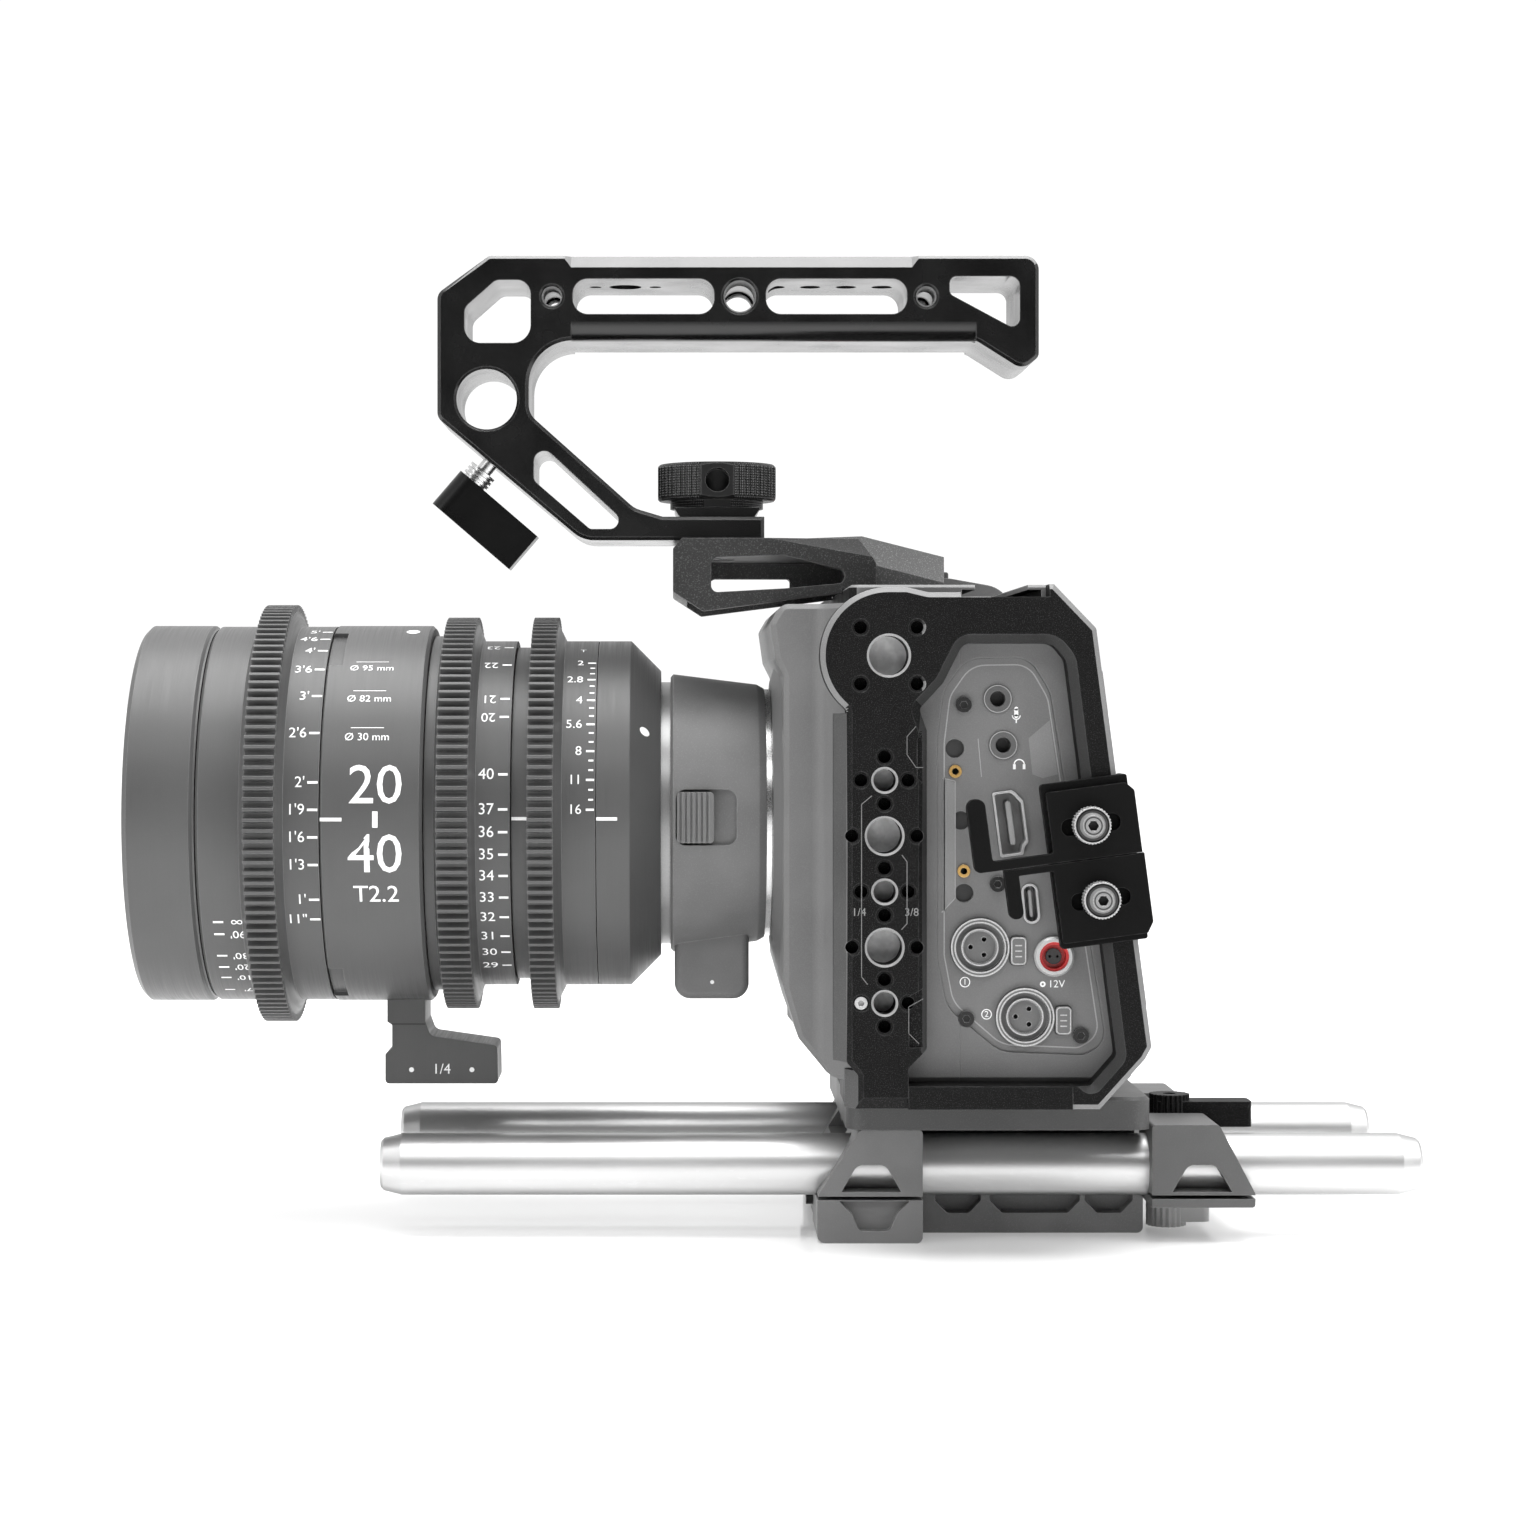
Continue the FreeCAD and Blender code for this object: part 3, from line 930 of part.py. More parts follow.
def build_fan():
    x0, x1, y, z, count = -11.4, -5.4, 20, 90, 11
    blades = []
    for i in range(count):
        blade = box(x0, x1, y - 0.4, y + 0.4, z + 7.5, z + 18)
        blade.rotate(V(0, y, z), V(1, 0, 0), i * 360 / count)
        blades.append(blade)
    hub = rod((x0, y, z), (1, 0, 0), 8, x1 - x0)
    keep("fan_rotor", cut(fuse([hub] + blades), [rod((x0 - 0.6, y, z), (1, 0, 0), 1.2, 12)]))


def build_battery():
    """The battery upright in the grip, and its door in the grip's floor."""
    keep("battery", rounded_box(-42, -3, 73, 103, 46, 115, 3, "xy"))
    keep("battery_door", rounded_box(-44.8, 4.8, 72.2, 103.8, FLOOR_Z, 43.6, 1.5, "xy"))


def build_screen():
    """The tilting screen: a frame with a shallow well for its glass."""
    y0, y1 = SCREEN["y0"] + 6, SCREEN["y1"] - 6
    z0, z1 = SCREEN["v0"] + 9, SCREEN["v1"] - 7
    well = prism(back_slice(z0, z1, 3.6, 9.0), "xz", y0, y1)
    keep("screen_frame", cut(leaning_box(SCREEN, 0.0), [well]))
    keep("screen_glass", prism(back_slice(z0, z1, 3.6, 4.3), "xz", y0, y1))


def build_buttons():
    for name, (x, y, r) in BUTTONS.items():
        cap = Part.makeCylinder(r, 6.0, V(x, y, GRIP_ROOF - 3.8))
        cap = soften(cap, 0.6, lambda e: e.Closed and e.CenterOfMass.z > GRIP_ROOF + 2, rounded=True)
        keep(name, cap)


def build_control_wheel():
    """The finger wheel at the front of the grip."""
    x, y, z = WHEEL
    wheel = prism(ridged_circle((x, z), 8.6, 40, 0.5), "xz", y - 4, y + 4)
    keep("control_wheel", cut(wheel, [rod((x, y - 5, z), (0, 1, 0), 1.5, 10)]))


def build_grip_cover():
    """The rubber sleeve round the grip."""
    sleeve = inset([p[:2] for p in GRIP_PLAN], "xy", 52, -1.4, 90).cut(prism(GRIP_PLAN, "xy", 40, 160))
    sleeve = sleeve.common(box(-60, -6, 72, 120, 52, 138))
    keep("grip_cover", sleeve)


# ---- lens and adapter -----------------------------------------------------------------------------
def build_adapter_body():
    """The mount adapter with its foot and the pocket of its release slide."""
    body = turned([(ADAPTER_FRONT, 27.3), (ADAPTER_FRONT, 34.4), (ADAPTER_FRONT + 0.7, 35.2),
                   (-66.4, 32.6, 1), (ADAPTER_END, 31.6), (ADAPTER_END, 27.3)])
    foot = rounded_box(-87.2, -68.6, -14, 14, 56.3, AXIS_Z - 20, 4.0)
    foot = soften(foot, 2.0, lambda e: on_y(-14)(e) or on_y(14)(e), rounded=True)
    body = fuse([body, foot])
    tools = [rod((-95, 0, AXIS_Z), (1, 0, 0), 27.3, 40), rod((-89, 0, AXIS_Z), (1, 0, 0), 31.0, 2.8)]
    tools += [rounded_box(-86.9, -72.0, -40, -31.6, AXIS_Z - 6.8, AXIS_Z + 6.8, 2.5)]
    keep("adapter_body", cut(body, tools))


def build_adapter_slider():
    """The ribbed release slide."""
    knob = rounded_box(-86.6, -77.6, -35.6, -31.8, AXIS_Z - 6.2, AXIS_Z + 6.2, 1.0)
    ribs = [box(-86.0 + 1.3 * i, -85.4 + 1.3 * i, -37, -34.9, AXIS_Z - 7, AXIS_Z + 7) for i in range(6)]
    keep("adapter_slider", cut(knob, ribs))


def build_adapter_flanges():
    front = tube(ADAPTER_FRONT, -86.2, 31.0, 27.3)
    rear = turned([(ADAPTER_END, 23.5), (ADAPTER_END, 31.4), (FLANGE, 31.4), (FLANGE, 25.0), (-59.0, 25.0),
                   (-59.0, 23.5)])
    keep("adapter_flanges", group([front, rear]))


def build_fixed_barrels():
    """The front barrel, and the rear barrel whose core the rings turn on."""
    keep("lens_front_barrel", turned([
        (LENS_FRONT, FILTER_R), (LENS_FRONT, 46.3), (LENS_FRONT + 1.2, BARREL_R), (-203.8, BARREL_R),
        (-203.0, 46.6), (-202.6, 46.6), (-202.6, CORE_R), (-204, CORE_R), (-204, 36.5), (-207, 36.5),
        (-207, 39.6), (-213.5, 39.6), (-213.5, FILTER_R)]))
    keep("lens_rear_barrel", turned([
        (-204, CORE_BORE), (-204, CORE_R), (INDEX_FRONT, CORE_R), (INDEX_FRONT, 42.0), (INDEX_END, 42.0),
        (INDEX_END, CORE_R), (IRIS_END + 0.2, CORE_R), (IRIS_END + 0.2, SCALE_R),
        (REAR_RING_END, SCALE_R, 0.5), (CONE_END, 36.0, 0.5), (CONE_END, 24.0), (-99, 24.0),
        (-99, CORE_BORE)]))


def build_centre_barrel():
    """The fixed barrel between the rings, with four shallow recesses in its front edge."""
    centre = turned([(CENTRE_FRONT, CORE_R), (CENTRE_FRONT, BARREL_R - 0.4), (CENTRE_FRONT + 0.4, BARREL_R),
                     (CENTRE_END - 0.8, BARREL_R), (CENTRE_END, BARREL_R - 0.8), (CENTRE_END, CORE_R)])
    deep, far = CENTRE_FRONT + 3.7, CENTRE_FRONT - 1
    notch = [(far, BARREL_R - 1.2), (far, BARREL_R + 2), (deep, BARREL_R + 2), (deep, BARREL_R - 1.2)]
    notches = [turned(notch, start=middle - 10.5, sweep=21) for middle in (-28, 28, 152, 208)]
    keep("lens_centre_barrel", cut(centre, notches))


def gear(x0, x1, teeth, bore):
    """The toothed band of a ring, hollow inside the bore radius."""
    hollow = rod((x0 - 1, 0, AXIS_Z), (1, 0, 0), bore, x1 - x0 + 2)
    return toothed_disc(x0, x1, teeth, GEAR_MODULE).cut(hollow)


def build_focus_ring():
    ring_r, gear_root = BARREL_R - 0.2, 50.6
    rear = CENTRE_FRONT - 0.25
    body = turned([(FOCUS_FRONT, RING_BORE), (FOCUS_FRONT, ring_r - 0.7), (FOCUS_FRONT + 0.7, ring_r),
                   (FOCUS_GEAR - 1.6, ring_r), (FOCUS_GEAR, gear_root), (FOCUS_GEAR_END, gear_root),
                   (FOCUS_GEAR_END + 1.6, ring_r), (rear, ring_r), (rear, RING_BORE), (-177, RING_BORE),
                   (-177, 44.6), (-198, 44.6), (-198, RING_BORE)])
    keep("focus_ring", fuse([body, gear(FOCUS_GEAR, FOCUS_GEAR_END, FOCUS_TEETH, 50.0)]))


def build_zoom_ring():
    front = CENTRE_END + 0.2
    body = turned([(front, RING_BORE), (front, 44.9), (ZOOM_GEAR - 0.8, 44.9), (ZOOM_GEAR, GEAR_ROOT),
                   (ZOOM_GEAR_END, GEAR_ROOT), (ZOOM_GEAR_END + 1.5, SCALE_R), (ZOOM_END, SCALE_R),
                   (ZOOM_END, RING_BORE)])
    keep("zoom_ring", fuse([body, gear(ZOOM_GEAR, ZOOM_GEAR_END, SMALL_TEETH, 46.0)]))


def build_iris_ring():
    front = INDEX_END + 0.2
    body = turned([(front, RING_BORE), (front, GEAR_ROOT), (IRIS_GEAR_END, GEAR_ROOT),
                   (IRIS_GEAR_END + 1.9, SCALE_R), (IRIS_END, SCALE_R), (IRIS_END, RING_BORE)])
    keep("iris_ring", fuse([body, gear(front, IRIS_GEAR_END, SMALL_TEETH, 46.0)]))


def build_lens_bayonet():
    keep("lens_bayonet", turned([(CONE_END, 25.2), (CONE_END, 33.2), (ADAPTER_FRONT, 33.2),
                                 (ADAPTER_FRONT, 27.1), (-84, 27.1), (-84, 25.2)]))


def build_lens_foot():
    """The lens's own support foot, with a tapped hole under it."""
    side = [(-159.5, 60), (-149.9, 60), (-149.9, 50.2), (-148.6, 46.6, 2), (-131.8, 44.2, 1.2),
            (-131.6, 34.6, 1), (-160.0, 34.6, 1), (-160.0, 42.0), (-158.3, 43.6), (-158.3, 49.4),
            (-159.5, 50.2)]
    barrel = rod((-230, 0, AXIS_Z), (1, 0, 0), BARREL_R, 100)
    thread = tapped((-146, 0, 34.6), (0, 0, 1), TAP_QUARTER, 8)
    keep("lens_foot", cut(prism(side, "xz", -9, 9), [barrel, thread]))


def lens_cell(x0, x1, glass_r):
    """A metal cell with a bulged element inside it."""
    ring = tube(x0, x1, CORE_BORE - FIT, glass_r)
    bulge = Part.makeSphere(120.0, V(x0 + 1.5 + 120.0, 0, AXIS_Z))
    glass = rod((x0 + 1.5, 0, AXIS_Z), (1, 0, 0), glass_r, x1 - x0 - 3).common(bulge)
    return group([ring, glass])


def build_glass():
    """The fixed front and rear elements, and the two groups that slide inside the barrel."""
    front_glass = rod((-213.2, 0, AXIS_Z), (1, 0, 0), 39.5, 6.2).common(
        Part.makeSphere(170.0, V(-213.2 + 170.0, 0, AXIS_Z)))
    rear_glass = rod((-98, 0, AXIS_Z), (1, 0, 0), 23.9, 6)
    keep("fixed_elements", group([front_glass, rear_glass]))
    keep("focus_group", lens_cell(-192, -176, 33.0))
    keep("zoom_group", lens_cell(-154, -138, 28.0))


def build_diaphragm():
    """Nine iris blades on their ring, each turned on from the last."""
    blades = [tube(-116, -114.8, CORE_BORE - FIT, 31)]
    for i in range(9):
        x = -114.6 + 0.3 * i
        bite = rod((x - 1, 0, AXIS_Z + 9.2), (1, 0, 0), 18.5, 3)
        disc = rod((x, 0, AXIS_Z + 21), (1, 0, 0), 15.0, 0.18).cut(bite)
        disc.rotate(V(0, 0, AXIS_Z), V(1, 0, 0), 40 * i)
        blades.append(disc.common(rod((x - 1, 0, AXIS_Z), (1, 0, 0), CORE_BORE - 0.3, 3)))
    keep("iris_diaphragm", group(blades))


def main():
    for build in (build_base_plate, build_slide_rail, build_front_rod_clamp, build_rear_rod_clamp,
                  build_base_screws, build_rods, build_sled_lock_lever, build_rod_clamp_lever, build_sled,
                  build_cage_side_plate, build_cage_bottom_plate, build_cage_top_plate, build_cage_screws,
                  build_bridge, build_cable_clamps, build_top_handle, build_handle_wedge, build_handle_knob,
                  build_handle_lever, build_camera_body, build_port_panel, build_port_sockets,
                  build_dc_socket, build_audio_sockets, build_panel_fasteners, build_mount_ring,
                  build_circuit_boards, build_fan, build_battery, build_screen, build_buttons,
                  build_control_wheel, build_grip_cover, build_adapter_body, build_adapter_slider,
                  build_adapter_flanges, build_fixed_barrels, build_centre_barrel, build_focus_ring,
                  build_zoom_ring, build_iris_ring, build_lens_bayonet, build_lens_foot, build_glass,
                  build_diaphragm):
        build()
    os.makedirs("parts", exist_ok=True)
    for name, shape in PARTS.items():
        shape.exportStep(os.path.join("parts", name + ".step"))


main()
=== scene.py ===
import bpy
import math
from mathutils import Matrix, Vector


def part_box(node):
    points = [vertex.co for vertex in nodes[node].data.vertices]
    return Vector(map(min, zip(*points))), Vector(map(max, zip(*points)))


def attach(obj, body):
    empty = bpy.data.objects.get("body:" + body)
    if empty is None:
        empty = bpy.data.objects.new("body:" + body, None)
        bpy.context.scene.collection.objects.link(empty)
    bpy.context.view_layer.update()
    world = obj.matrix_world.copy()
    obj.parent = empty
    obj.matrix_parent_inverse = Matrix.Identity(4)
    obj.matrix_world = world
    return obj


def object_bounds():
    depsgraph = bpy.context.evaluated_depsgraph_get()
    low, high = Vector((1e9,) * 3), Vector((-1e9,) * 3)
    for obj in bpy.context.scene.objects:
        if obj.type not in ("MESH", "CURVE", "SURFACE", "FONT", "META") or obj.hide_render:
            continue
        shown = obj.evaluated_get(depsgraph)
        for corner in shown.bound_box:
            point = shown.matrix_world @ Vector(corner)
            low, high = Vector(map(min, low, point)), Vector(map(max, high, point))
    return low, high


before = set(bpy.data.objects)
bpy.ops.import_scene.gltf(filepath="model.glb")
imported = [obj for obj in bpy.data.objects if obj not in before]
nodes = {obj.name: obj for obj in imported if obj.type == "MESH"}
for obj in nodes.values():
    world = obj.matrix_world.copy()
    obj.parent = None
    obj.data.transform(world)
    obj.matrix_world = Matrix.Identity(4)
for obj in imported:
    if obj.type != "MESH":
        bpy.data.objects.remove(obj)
cad_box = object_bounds()

MM = 0.001
LIFT = 0.05 * MM            # how far paint stands off the surface it marks
DOME_RADIUS = 62.0          # how strongly the lens elements bulge, mm
KNOB_X, KNOB_RADIUS = -76.5, 15.6
KNURL_PITCH = 1.3
CREASE = math.radians(28)   # faces that meet at less than this are shaded as one smooth surface


def low(node):
    """The lowest corner of a node's box, in metres."""
    return Vector(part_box(node)[0])


def high(node):
    """The highest corner of a node's box, in metres."""
    return Vector(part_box(node)[1])


def middle(node):
    return (low(node) + high(node)) / 2


AXIS_Z = middle("focus_ring").z         # the lens axis lies at Y = 0, this high


# ---- node materials -----------------------------------------------------------------------------
def grey(value):
    return (value, value, value, 1.0)


class Look:
    """One node material, built a step at a time on a Principled shader."""

    def __init__(self, name):
        self.material = bpy.data.materials.new(name)
        self.material.use_nodes = True
        self.tree = self.material.node_tree
        self.shader = self.tree.nodes["Principled BSDF"]
        self.place = self.add("ShaderNodeTexCoord").outputs["Object"]
        self.normal = None

    def add(self, kind, inputs=None, **settings):
        node = self.tree.nodes.new(kind)
        for key, value in settings.items():
            setattr(node, key, value)
        for key, value in (inputs or {}).items():
            self.feed(node.inputs[key], value)
        return node

    def feed(self, socket, value):
        if isinstance(value, bpy.types.NodeSocket):
            self.tree.links.new(value, socket)
        else:
            socket.default_value = value

    def set(self, **inputs):
        for key, value in inputs.items():
            self.feed(self.shader.inputs[key.replace("_", " ")], value)
        return self

    def stretched(self, stretch):
        if stretch == (1, 1, 1):
            return self.place
        node = self.add("ShaderNodeMapping", {"Vector": self.place, "Scale": stretch})
        return node.outputs["Vector"]

    def noise(self, size_mm, detail=2.0, stretch=(1, 1, 1)):
        """Smooth noise whose lumps are about size_mm across."""
        inputs = {"Vector": self.stretched(stretch), "Scale": 1 / (size_mm * MM), "Detail": detail}
        return self.add("ShaderNodeTexNoise", inputs).outputs["Fac"]

    def cells(self, size_mm, feature="F1"):
        inputs = {"Vector": self.place, "Scale": 1 / (size_mm * MM)}
        return self.add("ShaderNodeTexVoronoi", inputs, feature=feature).outputs["Distance"]

    def span(self, value, start, end, first, last):
        """The value moved from the range start..end to first..last, and held at the ends."""
        inputs = {"Value": value, "From Min": start, "From Max": end, "To Min": first, "To Max": last}
        return self.add("ShaderNodeMapRange", inputs).outputs["Result"]

    def vector(self, operation, a, b=(0, 0, 0)):
        return self.add("ShaderNodeVectorMath", {0: a, 1: b}, operation=operation).outputs[0]

    def distance(self, a, b):
        node = self.add("ShaderNodeVectorMath", {0: a, 1: b}, operation="DISTANCE")
        return node.outputs["Value"]

    def cloudy(self, factor, shade, darker, lighter):
        """A grey that drifts between a darker and a lighter share of its shade."""
        return self.blend(self.span(factor, 0.3, 0.7, 0, 1), grey(shade * darker), grey(shade * lighter))

    def math(self, operation, a, b=0.0):
        return self.add("ShaderNodeMath", {0: a, 1: b}, operation=operation).outputs[0]

    def blend(self, factor, a, b):
        """Colour a where factor is 0, colour b where it is 1."""
        node = self.add("ShaderNodeMix", data_type="RGBA")
        for socket, value in ((0, factor), (6, a), (7, b)):
            self.feed(node.inputs[socket], value)
        return node.outputs[2]

    def round_edges(self, radius_mm, samples=4):
        """Rounds the edges in shading, and gives a mask that is 1 along them."""
        bevel = self.add("ShaderNodeBevel", {"Radius": radius_mm * MM}, samples=samples)
        self.normal = bevel.outputs["Normal"]
        flat = self.add("ShaderNodeNewGeometry").outputs["Normal"]
        dot = self.add("ShaderNodeVectorMath", {0: self.normal, 1: flat}, operation="DOT_PRODUCT")
        return self.span(dot.outputs["Value"], 0.995, 0.80, 0.0, 1.0)

    def bump(self, height, depth_mm, strength=1.0):
        node = self.add("ShaderNodeBump", {"Height": height, "Distance": depth_mm * MM, "Strength": strength})
        if self.normal is not None:
            self.feed(node.inputs["Normal"], self.normal)
        self.normal = node.outputs["Normal"]

    def done(self):
        if self.normal is not None:
            self.feed(self.shader.inputs["Normal"], self.normal)
        return self.material


def anodised(name, shade, edge_shade, rough=0.5, grain_mm=0.16, grain_depth=0.012, gloss=0.35,
             speckle=0.25):
    """Bead-blasted, dyed aluminium: a fine sparkle of grain, cloudy dye, and paler edges, part wear, part
    painted highlight.
    """
    look = Look(name)
    edge = look.round_edges(0.35)
    cloud = look.noise(14, 3)
    fine = look.noise(grain_mm, 1)
    rub = look.noise(2.2, 4)
    # the edges' paler tone: partly wear where the rub noise allows, partly painted highlight
    wear_and_highlight = look.math("MULTIPLY", edge, look.span(rub, 0.35, 0.62, 0.25, 1.0))
    base = look.cloudy(cloud, shade, 0.9, 1.12)
    sparkle = look.blend(look.span(fine, 0.55, 0.78, 0, 1), base, grey(shade + speckle * 0.2))
    look.set(Base_Color=look.blend(wear_and_highlight, sparkle, grey(edge_shade)))
    look.set(Roughness=look.span(cloud, 0.2, 0.8, rough - 0.06, rough + 0.08), Specular_IOR_Level=gloss)
    look.bump(fine, grain_depth)
    return look.done()


def turned_alloy(name, shade, edge_shade, rough=0.42):
    """Dyed aluminium turned on a lathe: hair-fine rings round the lens axis under a satin finish, with a
    painted edge highlight.
    """
    look = Look(name)
    edge = look.round_edges(0.3)
    rings = look.noise(0.35, 2, stretch=(1, 0.02, 0.02))
    fine = look.noise(0.13, 1)
    cloud = look.noise(25, 2)
    base = look.cloudy(cloud, shade, 0.93, 1.08)
    speck = look.blend(look.span(fine, 0.6, 0.85, 0, 0.5), base, grey(shade * 1.7))
    # painted highlight: the edges get a paler base colour
    look.set(Base_Color=look.blend(edge, speck, grey(edge_shade)))
    look.set(Roughness=look.span(rings, 0.3, 0.7, rough - 0.05, rough + 0.07), Specular_IOR_Level=0.45)
    look.bump(rings, 0.01)
    look.bump(fine, 0.008)
    return look.done()


def ground_steel():
    """Ground rod: bright, with fine lines round it, long soft streaks, a few scuffs and painted shade towards
    its outline.
    """
    look = Look("ground_steel")
    look.round_edges(0.3)
    lines = look.noise(0.12, 2, stretch=(1, 0.05, 0.05))
    streaks = look.noise(6, 4, stretch=(0.06, 1, 1))
    scuffs = look.noise(0.9, 5, stretch=(0.3, 1, 1))
    tone = look.blend(look.span(streaks, 0.3, 0.7, 0, 1), grey(0.6), grey(0.7))
    tone = look.blend(look.span(scuffs, 0.6, 0.8, 0, 0.5), tone, grey(0.78))
    # painted shade: the base colour darkens where the rod turns away from the eye, towards its outline
    facing = look.add("ShaderNodeLayerWeight", {"Blend": 0.5}).outputs["Facing"]
    look.set(Base_Color=look.blend(look.span(facing, 0.45, 0.95, 0, 1), tone, grey(0.24)))
    look.set(Metallic=0.8, Roughness=look.span(streaks, 0.25, 0.75, 0.3, 0.42))
    look.bump(lines, 0.003)
    return look.done()


def machined_steel(name, shade=0.62, rough=0.24):
    """Machined and polished steel with fine tool lines and a painted highlight along its edges."""
    look = Look(name)
    edge = look.round_edges(0.2)
    lines = look.noise(0.2, 3)
    # painted highlight along the edges
    look.set(Base_Color=look.blend(edge, grey(shade), grey(0.9)), Metallic=1.0)
    look.set(Roughness=look.span(lines, 0.2, 0.8, rough - 0.06, rough + 0.1))
    look.bump(lines, 0.004)
    return look.done()


def satin_nickel(name="satin_nickel", shade=0.5):
    """Pale plated metal that reads light from every side, with a painted highlight along its edges."""
    look = Look(name)
    edge = look.round_edges(0.12)
    grain = look.noise(0.25, 3)
    tone = look.cloudy(grain, shade, 0.9, 1.05)
    # painted highlight along the edges
    look.set(Base_Color=look.blend(edge, tone, grey(0.95)), Metallic=0.45)
    look.set(Roughness=look.span(grain, 0.3, 0.7, 0.28, 0.4))
    look.bump(grain, 0.004)
    return look.done()


def blackened_steel():
    """Black-oxide steel, paler along its edges: partly rubbed bare, partly painted highlight."""
    look = Look("blackened_steel")
    edge = look.round_edges(0.2)
    grain = look.noise(0.3, 3)
    # paler edges: partly rubbed bare, partly painted highlight
    look.set(Base_Color=look.blend(edge, grey(0.035), grey(0.3)), Metallic=0.8)
    look.set(Roughness=look.span(grain, 0.2, 0.8, 0.32, 0.5))
    look.bump(grain, 0.004)
    return look.done()


def brass():
    """Plain brass, a little uneven, with a painted highlight along its edges."""
    look = Look("brass")
    edge = look.round_edges(0.1)
    grain = look.noise(0.3, 3)
    tone = look.blend(look.span(grain, 0.3, 0.7, 0, 1), (0.55, 0.33, 0.1, 1), (0.75, 0.48, 0.18, 1))
    # painted highlight along the edges
    look.set(Base_Color=look.blend(edge, tone, (0.95, 0.75, 0.4, 1)), Metallic=1.0, Roughness=0.28)
    look.bump(grain, 0.004)
    return look.done()


def light_through_holes(look, tone, holes):
    """Pales the tone of a side wall where light falls on it through round holes, given as x, z and radius."""
    y = look.add("ShaderNodeSeparateXYZ", {0: look.place}).outputs["Y"]
    near = look.span(y, -59.5 * MM, -59.9 * MM, 0, 1)
    flat = look.vector("MULTIPLY", look.place, (1, 0, 1))
    for x, z, radius in holes:
        reach = look.distance(flat, (x * MM, 0, z * MM))
        inside = look.span(reach, (radius + 0.4) * MM, radius * MM, 0, 1)
        streak = look.span(look.noise(3.0, 2), 0.4, 0.6, 0.75, 1.0)
        share = look.math("MULTIPLY", look.math("MULTIPLY", inside, near), streak)
        tone = look.blend(share, tone, grey(0.9))
    return tone


def moulded(name, shade, rough=0.55, texture_mm=0.28, depth=0.02, edge=None, holes=()):
    """Moulded plastic with a fine spark-eroded texture, a painted edge highlight, and painted light behind
    given holes.
    """
    look = Look(name)
    mask = look.round_edges(0.45)
    pores = look.cells(texture_mm)
    cloud = look.noise(18, 3)
    base = look.cloudy(cloud, shade, 0.92, 1.1)
    speck = look.blend(look.span(pores, 0.2, 0.9, 0, 0.35), base, grey(shade * 1.5))
    # painted highlight along the edges
    tone = look.blend(mask, speck, grey(edge or shade * 1.5))
    # painted light on the wall where it shows through the given holes
    if holes:
        tone = light_through_holes(look, tone, holes)
    look.set(Base_Color=tone)
    look.set(Roughness=look.span(cloud, 0.2, 0.8, rough - 0.05, rough + 0.07), Specular_IOR_Level=0.35)
    look.bump(pores, depth)
    return look.done()


def pebbled_rubber():
    """Grip rubber with a raised pebble pattern, and painted shade in the hollows between the pebbles."""
    look = Look("pebbled_rubber")
    look.round_edges(0.5)
    pebbles = look.cells(1.3, "SMOOTH_F1")
    fine = look.noise(0.2, 2)
    # painted shade: darker between the pebbles, lighter on their tops
    look.set(Base_Color=look.blend(look.span(pebbles, 0.1, 0.8, 0, 1), grey(0.05), grey(0.022)))
    look.set(Roughness=look.span(fine, 0.3, 0.7, 0.6, 0.78), Specular_IOR_Level=0.3)
    look.bump(look.math("SUBTRACT", 1.0, pebbles), 0.28)
    look.bump(fine, 0.01)
    return look.done()


def coloured_plastic(name, colour, rough=0.3):
    """Smooth plastic in one colour, with a painted highlight along its edges."""
    look = Look(name)
    edge = look.round_edges(0.3)
    cloud = look.noise(3, 3)
    deep = tuple(c * 0.8 for c in colour[:3]) + (1,)
    pale = tuple(min(1, c * 1.4 + 0.03) for c in colour[:3]) + (1,)
    # painted highlight along the edges
    look.set(Base_Color=look.blend(edge, look.blend(cloud, deep, colour), pale), Roughness=rough)
    look.bump(look.noise(0.4, 2), 0.006)
    return look.done()


def paint():
    """White marking ink: slightly uneven, a touch of tooth."""
    look = Look("white_ink")
    uneven = look.noise(0.5, 3)
    tone = look.blend(look.span(uneven, 0.35, 0.7, 0, 1), grey(0.86), grey(0.95))
    look.set(Base_Color=tone, Roughness=0.5)
    look.bump(uneven, 0.008)
    return look.done()


def faint_ink(name="laser_mark", shade=0.15):
    """Thin marking, or a painted highlight along an edge: grey and slightly uneven."""
    look = Look(name)
    uneven = look.noise(0.3, 3)
    tone = look.blend(look.span(uneven, 0.35, 0.7, 0, 1), grey(shade * 0.8), grey(shade * 1.2))
    look.set(Base_Color=tone, Roughness=0.5)
    return look.done()


def coated_glass():
    """Optical glass: nearly black inside, domed in shading, under a violet and green coating."""
    look = Look("coated_glass")
    slope = 1 / (DOME_RADIUS * MM)
    lean = look.vector("MULTIPLY", look.vector("SUBTRACT", look.place, (0, 0, AXIS_Z)), (0, slope, slope))
    flat = look.add("ShaderNodeNewGeometry").outputs["Normal"]
    look.normal = look.vector("NORMALIZE", look.vector("ADD", flat, lean))
    facing = look.add("ShaderNodeLayerWeight", {"Blend": 0.35}).outputs["Facing"]
    tint = look.blend(facing, (0.006, 0.004, 0.014, 1), (0.012, 0.03, 0.024, 1))
    ripple = look.noise(30, 2)
    look.set(Base_Color=tint, Roughness=look.span(ripple, 0.3, 0.7, 0.01, 0.035), Specular_IOR_Level=0.35)
    look.set(Specular_Tint=(0.62, 0.5, 1.0, 1))
    return look.done()


